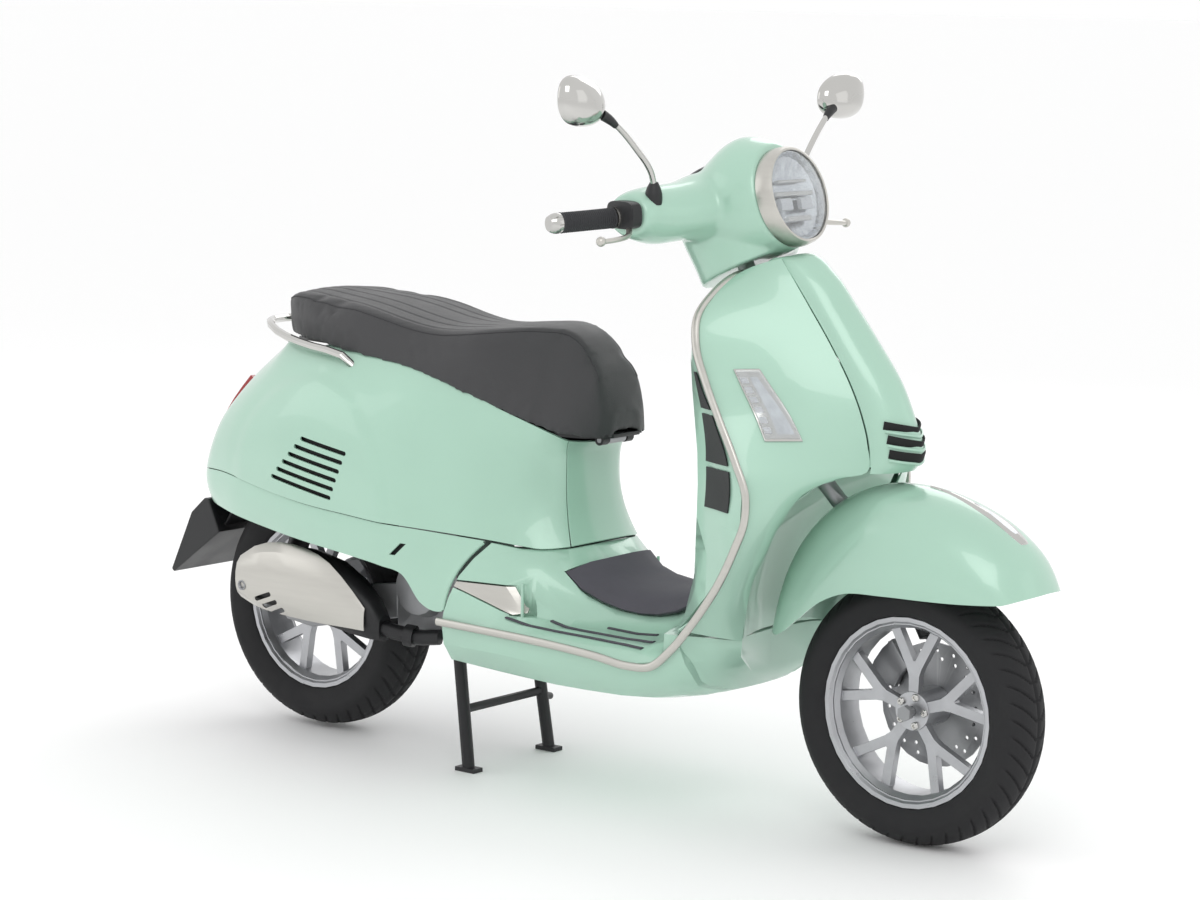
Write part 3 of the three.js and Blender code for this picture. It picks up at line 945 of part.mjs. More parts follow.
function frontFork() {
  const axis = (d) => STEER_HEAD.clone().addScaledVector(STEER_UP, -d);
  const pivot = at(FRONT_AXLE.x + LINK.pivotAhead, (LINK.inner + LINK.outer) / 2, FRONT_AXLE.z - LINK.pivotDrop);
  const x = LENGTHENING;
  const path = [axis(-20), axis(60), axis(160), axis(260), axis(360), axis(430), at(1222 + x, 34, 548),
    at(1272 + x, 78, 515), at(1345 + x, 88, 445), at(1430 + x, 88, 320), pivot.clone().setY(88)];
  const yoke = rod(pivot.clone().setY(LINK.inner - 4 + 14), pivot.clone().setY(LINK.outer - 2), 20, 20);
  const fork = tube(path, FORK_RADIUS, 10, 26);
  const link = linkSolid(pivot);
  const room = join(fork, yoke);
  add("fork", room, STEEL);
  add("link_arm", cut(link, tube(path, FORK_RADIUS + GAP, 10, 26), rod(pivot.clone().setY(60), pivot.clone().setY(120), 20 + GAP, 20)), ALLOY);
  const top = at(1256 + x, 86, 496);
  const low = at(FRONT_AXLE.x - 30, 86, FRONT_AXLE.z + 96);
  const length = top.distanceTo(low);
  const profile = [[0, -10], [8, -10], [8, 14], [19, 18], [19, length * 0.74], [11, length * 0.78], [11, length - 8], [0, length - 8]];
  add("front_shock", turned(profile, placed(low, top.clone().sub(low)), 16), BLACK_PLASTIC);
  const fender = plate(new Surface(bothHalves(transposed(FENDER_COLUMNS).map((row) => row.map(fenderPoint)))),
    { u: [0, 1], v: [0, 1], steps: [8, 12], thick: 3, flip: 1 });
  add("front_fender", cut(fender, tube(path, FORK_RADIUS + 3, 10, 26)), PAINT);
  const sector = (r, degrees) => [FRONT_AXLE.x + r * Math.cos(THREE.MathUtils.degToRad(degrees)),
    FRONT_AXLE.z + r * Math.sin(THREE.MathUtils.degToRad(degrees))];
  const outline = [...[128, 140, 152, 164].map((d) => sector(136, d)), ...[164, 146, 128].map((d) => sector(78, d))];
  const discRoom = turned([[0, DISC.y - 3], [DISC.radius + 5, DISC.y - 3], [DISC.radius + 5, DISC.y + DISC.thick + 3],
    [0, DISC.y + DISC.thick + 3]], placed(FRONT_AXLE, at(0, 1, 0)), 36);
  add("brake_caliper", largest(cut(slab(outline, DISC.y - 16, LINK.inner - GAP, 2), discRoom)), STEEL);
}

function linkSolid(pivot) {
  const axle = FRONT_AXLE;
  const outline = [[axle.x - 130, axle.z + 52], [axle.x - 118, axle.z + 92], [axle.x - 60, axle.z + 76], [axle.x + 6, axle.z + 30],
    [pivot.x, pivot.z + 28], [pivot.x + 26, pivot.z + 8], [pivot.x + 24, pivot.z - 22], [pivot.x - 6, pivot.z - 30],
    [axle.x - 20, axle.z - 34], [axle.x - 44, axle.z - 12], [axle.x - 60, axle.z + 30]];
  const plateArm = slab(outline, LINK.inner, LINK.outer, 3);
  const axleRod = rod(axle.clone().setY(-40), axle.clone().setY(LINK.inner + 1), AXLE_RADIUS, 24);
  const nut = rod(axle.clone().setY(-52), axle.clone().setY(-40), 14, 6);
  return join(plateArm, axleRod, nut);
}

// ---------------------------------------------------------------- handlebar and headset
const LAMP = { centre: [1098, 0, 1110], tilt: THREE.MathUtils.degToRad(16.4), radius: 79, ringRadius: 88, ringDepth: 30 };
const lampAxis = at(Math.cos(LAMP.tilt), 0, Math.sin(LAMP.tilt));
const lampCentre = at(LAMP.centre[0] + LENGTHENING, 0, LAMP.centre[2]);
const frontPoint = ([x, y, z]) => at(x + LENGTHENING, y, z);
// Sections of the headset's neck square to the steering axis: distance up the axis, then along
// the way ahead the middle, the reach forward and the reach back, and the half-width.
const NECK_LEVELS = [
  [-18, 10, 86, 94, 82], [12, 10, 88, 94, 83], [42, 6, 90, 92, 85], [68, 4, 90, 90, 90],
  [96, 8, 80, 88, 92], [122, 14, 60, 70, 76],
];
// Sections of its cowl square to the lamp's axis: distance behind the lamp, reach up, reach down
// and half-width.
const COWL_SECTIONS = [
  [30, 99, 88, 89], [58, 115, 94, 96], [86, 125, 96, 99], [112, 122, 92, 99], [140, 110, 80, 94],
  [166, 96, 62, 84], [186, 76, 40, 64],
];
// Sections of an arm: y, centre x and z, half-depth and half-height.
const HEADSET_ARM = [
  [0, 938, 1080, 84, 66], [60, 936, 1080, 80, 62], [110, 928, 1077, 68, 52], [150, 920, 1073, 58, 51],
  [180, 915, 1071, 53, 51], [215, 911, 1072, 49, 46], [235, 910, 1073, 47, 40], [248, 910, 1073, 42, 33],
];
const squared = (share) => Math.sign(share) * Math.abs(share) ** 0.85;
const oval = (n, place) => Array.from({ length: n }, (_, i) => place((2 * Math.PI * i) / n));

function headset() {
  const ahead = at(Math.cos(RAKE), 0, Math.sin(RAKE));
  const neck = loft(NECK_LEVELS.map(([up, mid, front, rear, half]) => oval(16, (a) => {
    const reach = mid + (Math.cos(a) > 0 ? front : rear) * squared(Math.cos(a));
    return STEER_HEAD.clone().addScaledVector(STEER_UP, up).addScaledVector(ahead, reach)
      .setY(half * squared(Math.sin(a)));
  })));
  const lampUp = at(-Math.sin(LAMP.tilt), 0, Math.cos(LAMP.tilt));
  const cowl = loft(COWL_SECTIONS.map(([behind, up, down, half]) => oval(16, (a) =>
    lampCentre.clone().addScaledVector(lampAxis, -behind)
      .addScaledVector(lampUp, (Math.cos(a) > 0 ? up : down) * Math.cos(a)).setY(half * Math.sin(a)))));
  const arm = loft(HEADSET_ARM.map(([y, x, z, depth, height]) => oval(10, (a) =>
    frontPoint([x + depth * Math.cos(a), y, z + height * Math.sin(a)]))));
  const dash = dashSolid();
  const shell = join(neck, cowl, arm, mirrored(arm), dash.cup);
  const bar = handlebarSolid(GAP);
  const column = rod(STEER_HEAD.clone().addScaledVector(STEER_UP, -60),
    STEER_HEAD.clone().addScaledVector(STEER_UP, 20 + GAP), FORK_RADIUS + 1.5, 20);
  const lampRoom = rod(lampCentre.clone().addScaledVector(lampAxis, -LAMP.ringDepth),
    lampCentre.clone().addScaledVector(lampAxis, 60), LAMP.ringRadius + 40, 24);
  const stem = mirrorStem(GAP);
  const perch = leverPerch(GAP);
  const pocket = loft(HEADSET_ARM.slice(-4).map(([y, x, z, depth, height], i) => oval(12, (a) =>
    frontPoint([x + (depth - 6) * Math.cos(a), y + 2 * i + 18, z + (height - 6) * Math.sin(a)]))));
  add("headset", largest(cut(shell, bar, column, dash.room, stem, mirrored(stem), pocket, mirrored(pocket), perch,
    mirrored(perch), lampRoom)), PAINT);
  add("dash", dash.solid, BLACK_PLASTIC);
  const ringProfile = [[LAMP.ringRadius - 14, GAP - LAMP.ringDepth], [LAMP.ringRadius, GAP - LAMP.ringDepth], [LAMP.ringRadius - 1, -12],
    [LAMP.ringRadius - 5, 2], [LAMP.radius + GAP, 2], [LAMP.radius + GAP, -20], [LAMP.ringRadius - 14, -20], [LAMP.ringRadius - 14, GAP - LAMP.ringDepth]];
  const lampPlace = placed(lampCentre, lampAxis);
  add("headlight_ring", turned(ringProfile, lampPlace, 28), SATIN_METAL);
  const lens = [[0, -LAMP.ringDepth + 2 * GAP], [LAMP.ringRadius - 14 - GAP, -LAMP.ringDepth + 2 * GAP], [LAMP.ringRadius - 14 - GAP, -19],
    [LAMP.radius, -19], [LAMP.radius, 0], [50, 7], [0, 10]];
  add("headlight", turned(lens, lampPlace, 28), CLEAR_LENS);
}

function dashSolid() {
  const normal = at(-0.62, 0, 0.78);
  const centre = frontPoint([888, 0, 1120]);
  const disc = (extra) => {
    const place = placed(centre, normal);
    return turned([[0, -26 - extra], [57 + extra, -26 - extra], [57 + extra, 3], [50 + extra, 8], [0, 9]], place, 28);
  };
  const cup = rod(centre.clone().addScaledVector(normal, -80), centre.clone().addScaledVector(normal, -3), 58, 24, 66);
  return { solid: disc(0), room: disc(GAP), cup };
}

const BAR_LINE = [[928, 0, 1076], [922, 120, 1076], [908, 200, 1073], [893, 250, 1069],
  [866, 318, 1064], [842, BAR_HALF_WIDTH, 1060]];

function barPoint(y) {
  const curve = new THREE.CatmullRomCurve3(BAR_LINE.map(frontPoint), false, "centripetal");
  let [low, high] = [0, 1];
  for (let i = 0; i < 30; i++) {
    const t = (low + high) / 2;
    if (curve.getPoint(t).y < y) low = t;
    else high = t;
  }
  return curve.getPoint(low);
}

function handlebarSolid(extra) {
  const half = [0, 60, 120, 170, 210, 240, 270, 310, 345, 372].map(barPoint);
  const path = [...half.slice(1).reverse().map(mirrorPoint), ...half];
  return tube(path, BAR_RADIUS + extra, 8, 16);
}

function leverPerch(extra) {
  return rod(barPoint(214), barPoint(260), 19 + extra, 14);
}

function mirrorStem(extra) {
  const path = [[941, 214, 1094], [942, 215, 1122], [945, 225, 1142], [941, 270, 1192], [934, 322, 1234],
    [927, 356, 1252]];
  const boot = rod(frontPoint([941, 214, 1090]), frontPoint([942, 215, 1130]), 15 + extra, 12, 12 + extra);
  return join(tube(path.map(frontPoint), 5.5 + extra, 6, 12), boot);
}

function controls() {
  const weight = (side) => rod(barPoint(BAR_HALF_WIDTH - 20).multiply(at(1, side, 1)),
    barPoint(BAR_HALF_WIDTH).multiply(at(1, side, 1)), 18, 20, 13);
  add("handlebar", join(handlebarSolid(0), weight(1), weight(-1)), CHROME);
  const grip = cut(tube([262, 290, 325, BAR_HALF_WIDTH - 21].map(barPoint), GRIP_RADIUS, 14, 6), handlebarSolid(GAP));
  addPair("grip", grip, GRIP_RUBBER);
  const bladePath = [[908, 244, 1056], [926, 262, 1049], [950, 300, 1041], [958, 340, 1038], [951, 370, 1036]];
  const blade = join(tube(bladePath.map(frontPoint), 5, 6, 8), rod(frontPoint([952, 364, 1036]), frontPoint([949, 378, 1036]), 9, 14));
  addPair("brake_lever", cut(join(leverPerch(0), blade), handlebarSolid(GAP)), SATIN_METAL);
  const head = loft(MIRROR_RINGS.map(([d, wide, high]) => oval(14, (a) => {
    const tilt = THREE.MathUtils.degToRad(8);
    const y = 390 + wide * Math.cos(a) - d * Math.sin(MIRROR_TOE_IN);
    const z = 1269 + high * Math.sin(a) + 6 * Math.cos(a);
    return frontPoint([923 + d + wide * Math.cos(a) * Math.sin(MIRROR_TOE_IN), y, z - d * Math.sin(tilt)]);
  })));
  addPair("mirror", join(mirrorStem(0), head), CHROME);
}
// Stations of a mirror head from its glass forwards: depth, half-width, half-height.
const MIRROR_RINGS = [[-16, 56, 38], [-12, 59, 41], [0, 58, 41], [12, 49, 34], [20, 32, 22], [24, 13, 10]];
const MIRROR_TOE_IN = THREE.MathUtils.degToRad(5);

// ---------------------------------------------------------------- lamps, grilles
// Place of the left indicator on the shield, as shares of its height and of its way across.
const INDICATOR = { low: 0.545, high: 0.725, lowFrom: 0.27, lowTo: 0.55, highFrom: 0.2, highTo: 0.46 };
function shieldDetails() {
  const shieldRoom = plate(shieldSurface,
    { u: [0, 1], v: [0, 1], steps: SHIELD_STEPS, thick: 16, lift: GAP, flip: -1 });
  const { low, high, lowFrom, lowTo, highFrom, highTo } = INDICATOR;
  const slant = (from, to) => (up) => THREE.MathUtils.mapLinear(up, low, high, from, to);
  const lamp = plate(shieldAcross, { u: [low, high], v: [slant(lowFrom, highFrom), slant(lowTo, highTo)],
    steps: [5, 4], thick: 14, lift: 6, flip: 1 });
  addPair("front_indicator", largest(cut(lamp, shieldRoom)), CLEAR_LENS);
  const grille = plate(innerSurface,
    { u: [0.905, 0.97], v: [0.31, 0.7], steps: [2, 8], thick: 14, lift: 5, flip: -1 });
  const shieldCore = innerRoom();
  addPair("side_grille", largest(cut(grille, shieldCore, mirrored(shieldCore))), BLACK_PLASTIC);
}

rearBody();
floor();
legShield();
seat();
storageBucket();
grabRail();
tail();
engineUnit();
exhaust();
centreStand();
wheels();
frontFork();
headset();
controls();
shieldDetails();

scooter.position.x = -ORIGIN_X;
export default scooter;
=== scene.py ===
import json
import math

import bmesh
import bpy
import numpy as np
from mathutils.bvhtree import BVHTree
from mathutils import Matrix, Vector


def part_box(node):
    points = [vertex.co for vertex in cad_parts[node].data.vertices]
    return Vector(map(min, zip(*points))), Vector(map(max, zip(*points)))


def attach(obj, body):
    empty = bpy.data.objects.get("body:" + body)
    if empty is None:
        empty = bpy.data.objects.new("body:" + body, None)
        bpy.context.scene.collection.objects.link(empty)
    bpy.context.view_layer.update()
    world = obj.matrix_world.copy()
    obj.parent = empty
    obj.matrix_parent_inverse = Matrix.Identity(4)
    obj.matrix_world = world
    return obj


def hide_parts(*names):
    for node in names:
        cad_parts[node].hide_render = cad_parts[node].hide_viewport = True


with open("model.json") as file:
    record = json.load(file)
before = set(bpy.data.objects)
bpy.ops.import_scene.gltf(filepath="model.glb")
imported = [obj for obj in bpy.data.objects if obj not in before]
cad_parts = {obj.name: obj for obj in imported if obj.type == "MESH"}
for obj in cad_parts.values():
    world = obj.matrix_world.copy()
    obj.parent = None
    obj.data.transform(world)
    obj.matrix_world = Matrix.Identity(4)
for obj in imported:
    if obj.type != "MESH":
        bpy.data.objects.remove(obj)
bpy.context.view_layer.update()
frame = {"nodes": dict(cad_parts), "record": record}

# Lengths are drawn in millimetres with X from the rear axle, as in the part's source.
ORIGIN_X = 633.0
MM = 0.001
BODY_OF = {n: body for body, names in frame["record"]["behaviour"]["bodies"].items() for n in names}

# ---------------------------------------------------------------- design tables
REAR_COLUMNS = [[[-273, 0, 500], [-254, 0, 545], [-228, 0, 592], [-190, 0, 645], [-140, 0, 698],
                 [-45, 0, 752]], [[-266, 60, 500], [-247, 62, 545], [-220, 64, 595], [-182, 62, 648],
                                  [-132, 58, 700], [-44, 52, 754]],
                [[-236, 108, 504], [-218, 112, 552], [-192, 110, 605], [-155, 102, 655],
                 [-112, 86, 706], [-38, 82, 760]], [[-150, 150, 508], [-142, 154, 560],
                                                    [-124, 150, 618], [-98, 136, 668], [-66, 116, 718],
                                                    [-22, 102, 768]],
                [[0, 188, 492], [0, 193, 556], [0, 188, 620], [0, 170, 678], [3, 144, 734],
                 [8, 118, 774]], [[120, 207, 480], [120, 213, 556], [120, 208, 636], [120, 192, 696],
                                  [120, 163, 745], [120, 134, 775]],
                [[240, 217, 473], [240, 221, 556], [240, 214, 634], [240, 198, 690], [242, 168, 738],
                 [245, 142, 770]], [[340, 223, 468], [340, 221, 540], [342, 213, 606], [346, 202, 655],
                                    [350, 176, 712], [354, 146, 754]],
                [[430, 216, 466], [428, 208, 528], [426, 199, 588], [425, 188, 642], [426, 170, 692],
                 [430, 146, 734]], [[500, 204, 463], [498, 196, 510], [495, 188, 560], [491, 178, 612],
                                    [488, 163, 660], [490, 142, 712]],
                [[562, 182, 457], [558, 174, 505], [552, 166, 556], [546, 157, 606], [542, 148, 652],
                 [545, 136, 692]], [[612, 158, 450], [602, 146, 500], [596, 136, 555], [594, 131, 606],
                                    [596, 128, 642], [602, 126, 672]],
                [[650, 136, 446], [638, 117, 500], [631, 104, 555], [630, 102, 606], [634, 106, 634],
                 [643, 110, 654]], [[684, 100, 450], [664, 86, 502], [655, 80, 556], [655, 80, 606],
                                    [658, 84, 626], [665, 88, 641]],
                [[704, 52, 456], [678, 46, 504], [667, 44, 557], [665, 44, 606], [668, 46, 624],
                 [676, 48, 637]], [[710, 0, 458], [682, 0, 505], [670, 0, 558], [668, 0, 606],
                                   [671, 0, 623], [680, 0, 636]],]
SKIRT_COLUMNS = [
    [[-264, 0, 445], [-271, 0, 474], [-273, 0, 500]],
    [[-257, 60, 443], [-265, 61, 473], [-266, 60, 500]],
    [[-230, 98, 439], [-237, 106, 472], [-236, 108, 504]],
    [[-150, 140, 430], [-151, 148, 470], [-150, 150, 508]],
    [[0, 178, 415], [0, 186, 454], [0, 188, 492]],
    [[120, 205, 407], [120, 208, 444], [120, 207, 480]],
    [[240, 219, 398], [240, 220, 436], [240, 217, 473]],
    [[330, 224, 388], [332, 225, 430], [340, 223, 468]],
    [[384, 225, 378], [392, 224, 424], [400, 219, 467]],
    [[430, 226, 332], [440, 222, 402], [462, 211, 465]],
    [[484, 227, 322], [504, 217, 394], [552, 186, 458]],
]
TRIM_LINE = [[480, 236, 304], [600, 241, 303], [740, 245, 300], [860, 247, 293], [930, 248, 286],
             [978, 248, 291], [1020, 248, 324], [1061, 249, 370], [1092, 250, 410], [1120, 252, 450],
             [1156, 253, 519], [1176, 253, 572], [1176, 252, 612], [1150, 248, 668], [1107, 237, 735],
             [1061, 217, 797], [1021, 191, 853], [1004, 164, 903], [1007, 128, 937], [1021, 72, 970],
             [1031, 36, 975], [1036, 0, 976],]
SHIELD_ROWS = [
    [[1031, 243, 360], [1058, 214, 352], [1082, 172, 341], [1096, 135, 333]],
    [[1084, 246, 402], [1101, 218, 398], [1113, 187, 394], [1115, 154, 390]],
    [[1116, 248, 447], [1130, 222, 446], [1138, 195, 445], [1134, 165, 444]],
    [[1152, 249, 517], [1164, 225, 513], [1170, 198, 508], [1164, 169, 502]],
    [[1172, 249, 571], [1189, 222, 570], [1199, 196, 568], [1197, 166, 566]],
    [[1172, 248, 610], [1198, 218, 612], [1220, 185, 614], [1229, 150, 613]],
    [[1162, 246, 642], [1202, 205, 645], [1240, 155, 645], [1266, 106, 637]],
    [[1146, 244, 670], [1195, 195, 672], [1248, 130, 668], [1297, 58, 648]],
    [[1128, 239, 701], [1181, 190, 702], [1237, 125, 701], [1294, 59, 696]],
    [[1104, 232, 737], [1161, 182, 741], [1221, 118, 741], [1281, 58, 737]],
    [[1062, 213, 793], [1123, 166, 797], [1187, 108, 797], [1254, 57, 793]],
    [[1020, 186, 856], [1080, 144, 862], [1143, 98, 864], [1210, 56, 860]],
    [[1004, 152, 915], [1055, 119, 924], [1108, 85, 926], [1160, 53, 924]],
    [[1018, 82, 966], [1044, 70, 982], [1070, 58, 993], [1097, 48, 1001]],
]
HORN_ROWS = [
    [[1346, 0, 648], [1334, 30, 646], [1298, 57, 644]],
    [[1361, 0, 668], [1346, 32, 666], [1300, 57, 662]],
    [[1362, 0, 694], [1346, 32, 694], [1296, 57, 694]],
    [[1344, 0, 737], [1330, 32, 737], [1283, 56, 736]],
    [[1317, 0, 793], [1303, 32, 793], [1256, 55, 792]],
    [[1269, 0, 858], [1256, 31, 858], [1212, 54, 859]],
    [[1216, 0, 924], [1204, 29, 924], [1162, 51, 923]],
    [[1170, 0, 977], [1158, 27, 976], [1116, 47, 976]],
    [[1130, 0, 1006], [1118, 25, 1004], [1088, 43, 1000]],
    [[1066, 0, 988], [1062, 20, 986], [1052, 34, 980]],
]
INNER_COLUMNS = [[[1014, 0, 434], [1014, 0, 470], [1015, 0, 550], [1016, 0, 655], [1004, 0, 742],
                  [991, 0, 802], [975, 0, 860], [966, 0, 905], [980, 0, 938], [1030, 0, 968]],
                 [[1014, 92, 431], [1014, 92, 470], [1015, 92, 550], [1016, 92, 655], [1004, 90, 742],
                  [991, 88, 802], [975, 84, 860], [967, 76, 904], [981, 68, 934], [1024, 50, 963]],
                 [[1016, 146, 408], [1016, 150, 468], [1018, 160, 549], [1019, 163, 654],
                  [1007, 158, 741], [994, 151, 801], [979, 137, 859], [972, 118, 900], [984, 102, 926],
                  [1018, 76, 956]], [[1022, 184, 384], [1024, 184, 462], [1029, 190, 547],
                                     [1031, 193, 653], [1018, 188, 740], [1004, 178, 799],
                                     [988, 158, 857], [982, 134, 896], [992, 116, 916],
                                     [1014, 92, 942]], [[1027, 220, 370], [1056, 218, 447],
                                                        [1092, 222, 546], [1090, 222, 652],
                                                        [1058, 214, 739], [1028, 198, 798],
                                                        [998, 174, 856], [990, 150, 898],
                                                        [996, 126, 920], [1014, 92, 946]],
                 [[1032, 239, 363], [1104, 246, 443], [1160, 247, 540], [1154, 244, 651],
                  [1098, 231, 738], [1052, 210, 797], [1012, 184, 855], [998, 158, 900],
                  [1002, 124, 930], [1018, 76, 962]],]
FENDER_COLUMNS = [
    [[1624, 0, 470], [1620, 40, 468], [1606, 72, 463], [1586, 92, 456]],
    [[1600, 0, 522], [1594, 50, 512], [1576, 86, 492], [1556, 102, 454]],
    [[1548, 0, 569], [1543, 58, 553], [1528, 98, 516], [1508, 108, 451]],
    [[1468, 0, 606], [1465, 61, 589], [1457, 104, 543], [1448, 112, 449]],
    [[1372, 0, 626], [1372, 62, 607], [1370, 105, 555], [1366, 113, 447]],
    [[1288, 0, 619], [1288, 61, 599], [1287, 102, 547], [1286, 110, 441]],
    [[1216, 0, 585], [1218, 57, 568], [1223, 96, 522], [1230, 104, 417]],
    [[1160, 0, 528], [1163, 53, 514], [1173, 88, 474], [1187, 97, 384]],
    [[1120, 0, 450], [1124, 49, 440], [1135, 80, 412], [1148, 90, 354]],
    [[1102, 0, 360], [1105, 45, 356], [1114, 71, 351], [1127, 83, 345]],
]
SEAT_STATIONS = [[-50, 45, 777, 45, 838, 846], [-38, 78, 776, 80, 852, 858],
                 [-14, 100, 776, 102, 862, 870], [30, 126, 775, 118, 866, 874],
                 [80, 139, 773, 127, 863, 871], [130, 149, 767, 134, 859, 867],
                 [180, 156, 761, 139, 855, 862], [230, 159, 758, 141, 847, 854],
                 [280, 160, 752, 139, 837, 844], [330, 162, 744, 136, 828, 835],
                 [380, 163, 732, 134, 824, 831], [430, 162, 719, 133, 826, 833],
                 [480, 156, 703, 130, 831, 838], [530, 149, 687, 113, 836, 843],
                 [580, 141, 670, 82, 839, 845], [602, 138, 664, 69, 838, 844],
                 [620, 131, 658, 58, 837, 842], [655, 124, 649, 50, 822, 827],
                 [690, 108, 644, 52, 787, 790], [715, 86, 642, 58, 748, 751],
                 [730, 62, 643, 56, 700, 703], [742, 24, 645, 24, 676, 679],]
NECK_LEVELS = [
    [-18, 10, 86, 94, 82], [12, 10, 88, 94, 83], [42, 6, 90, 92, 85], [68, 4, 90, 90, 90],
    [96, 8, 80, 88, 92], [122, 14, 60, 70, 76],
]
COWL_SECTIONS = [
    [30, 99, 88, 89], [58, 115, 94, 96], [86, 125, 96, 99], [112, 122, 92, 99], [140, 110, 80, 94],
    [166, 96, 62, 84], [186, 76, 40, 64],
]
HEADSET_ARM = [[0, 938, 1080, 84, 66], [60, 936, 1080, 80, 62], [110, 928, 1077, 68, 52],
               [150, 920, 1073, 58, 51], [180, 915, 1071, 53, 51], [215, 911, 1072, 49, 46],
               [235, 910, 1073, 47, 40], [248, 910, 1073, 42, 33],]
BAR_LINE = [(928, 0, 1076), (922, 120, 1076), (908, 200, 1073), (893, 250, 1069), (866, 318, 1064),
            (842, 378, 1060)]


# ---------------------------------------------------------------- smooth surfaces
def place(points):
    """Drawn millimetres to metres in the row frame."""
    moved = np.asarray(points, float).copy()
    moved[..., 0] -= ORIGIN_X
    return moved * MM


def in_mm(point):
    """The other way: metres in the row frame to drawn millimetres."""
    return (point[0] / MM + ORIGIN_X, point[1] / MM, point[2] / MM)


def weights(knots, ts):
    """Rows of the weights of smooth-curve values at ts, with parabolic tangents at the knots."""
    knots = np.asarray(knots, float)
    n = len(knots)
    eye = np.eye(n)
    chord = [(eye[k + 1] - eye[k]) / (knots[k + 1] - knots[k]) for k in range(n - 1)]
    slope = [None] * n
    for k in range(1, n - 1):
        before, after = knots[k] - knots[k - 1], knots[k + 1] - knots[k]
        slope[k] = (chord[k] * before + chord[k - 1] * after) / (before + after)
    slope[0] = chord[0] if n == 2 else 2 * chord[0] - slope[1]
    slope[-1] = chord[-1] if n == 2 else 2 * chord[-1] - slope[-2]
    rows = []
    for t in ts:
        i = int(np.clip(np.searchsorted(knots, t, side="left") - 1, 0, n - 2))
        step = knots[i + 1] - knots[i]
        s = (t - knots[i]) / step
        rows.append(eye[i] * (2 * s**3 - 3 * s**2 + 1) + slope[i] * (s**3 - 2 * s**2 + s) * step
                    + eye[i + 1] * (3 * s**2 - 2 * s**3) + slope[i + 1] * (s**3 - s**2) * step)
    return np.array(rows)


def knots_of(rows):
    gaps = [np.linalg.norm(b - a, axis=1).mean() for a, b in zip(rows, rows[1:])]
    knots = np.concatenate([[0.0], np.cumsum(gaps)])
    return knots / knots[-1]


def mirror_column(column):
    return [[x, -y, z] for x, y, z in column]


def both_halves(columns):
    return [mirror_column(c) for c in columns[1:][::-1]] + columns


def transposed(rows):
    return [list(row) for row in zip(*rows)]


class Surface:
    """A smooth surface through columns of points; outward is the sign of du x dv that faces out."""

    def __init__(self, columns, outward):
        self.points = np.array(columns, float)
        self.u = knots_of(list(self.points))
        self.v = knots_of([self.points[:, j] for j in range(self.points.shape[1])])
        self.outward = outward

    def grid(self, us, vs):
        return np.einsum("ai,ijk,bj->abk", weights(self.u, us), self.points, weights(self.v, vs))

    def shell(self, us, vs):
        """Points and outward unit normals over a grid of places."""
        us, vs = np.asarray(us, float), np.asarray(vs, float)
        d = 1e-3
        du = self.grid(np.minimum(us + d, 1), vs) - self.grid(np.maximum(us - d, 0), vs)
        dv = self.grid(us, np.minimum(vs + d, 1)) - self.grid(us, np.maximum(vs - d, 0))
        normal = np.cross(du, dv) * self.outward
        normal /= np.maximum(np.linalg.norm(normal, axis=-1, keepdims=True), 1e-9)
        return self.grid(us, vs), normal

    def at(self, u, v, lift=0.0):
        points, normal = self.shell([u], [v])
        return points[0, 0] + normal[0, 0] * lift


REAR = Surface([mirror_column(c) for c in REAR_COLUMNS[1:3][::-1]] + REAR_COLUMNS
               + [mirror_column(c) for c in REAR_COLUMNS[-3:-1][::-1]], -1)
SKIRT = Surface(both_halves(SKIRT_COLUMNS), -1)
SHIELD = Surface(transposed(SHIELD_ROWS), -1)
HORN = Surface(both_halves(transposed(HORN_ROWS)), 1)
INNER = Surface(both_halves(INNER_COLUMNS), -1)
FENDER = Surface(both_halves(transposed(FENDER_COLUMNS)), 1)
TAIL_COLUMN = 2
COLUMN_SEAM = 13


def rear_u(column):
    return REAR.u[TAIL_COLUMN + column]


def smoothstep(low, high, value):
    s = np.clip((np.asarray(value, float) - low) / (high - low), 0, 1)
    return s * s * (3 - 2 * s)


# ---------------------------------------------------------------- making objects
def new_object(name, vertices, faces, material, body, replaces=(), sharp=32.0, bevel=0.0):
    mesh = bpy.data.meshes.new(name)
    mesh.from_pydata([tuple(v) for v in vertices], [], [tuple(int(i) for i in f) for f in faces])
    mesh.update()
    obj = bpy.data.objects.new(name, mesh)
    bpy.context.scene.collection.objects.link(obj)
    return finish_object(obj, material, body, replaces, sharp, bevel)


def finish_object(obj, material, body, replaces=(), sharp=32.0, bevel=0.0):
    tidy = bmesh.new()
    tidy.from_mesh(obj.data)
    bmesh.ops.remove_doubles(tidy, verts=tidy.verts, dist=1e-6)
    bmesh.ops.recalc_face_normals(tidy, faces=tidy.faces)
    tidy.to_mesh(obj.data)
    tidy.free()
    obj.data.shade_smooth()
    obj.data.set_sharp_from_angle(angle=math.radians(sharp))
    if bevel:
        edge = obj.modifiers.new("edge", "BEVEL")
        edge.width, edge.segments, edge.limit_method = bevel * MM, 2, "ANGLE"
        edge.angle_limit = math.radians(sharp)
        edge.harden_normals = True
    obj.data.materials.clear()
    obj.data.materials.append(material)
    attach(obj, body)
    if replaces:
        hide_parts(*replaces)
    return obj


def grid_faces(nu, nv, start=0):
    faces = []
    for i in range(nu - 1):
        a, b = start + i * nv, start + (i + 1) * nv
        faces += [(a + j, b + j, b + j + 1, a + j + 1) for j in range(nv - 1)]
    return faces


def ring_faces(rings, sides):
    """Faces of a closed tube through rings of points, with both ends capped."""
    faces = []
    for i in range(rings - 1):
        for j in range(sides):
            a, b = i * sides + j, i * sides + (j + 1) % sides
            faces.append((a, b, b + sides, a + sides))
    last = (rings - 1) * sides
    return faces + [tuple(range(sides)), tuple(range(last + sides - 1, last - 1, -1))]


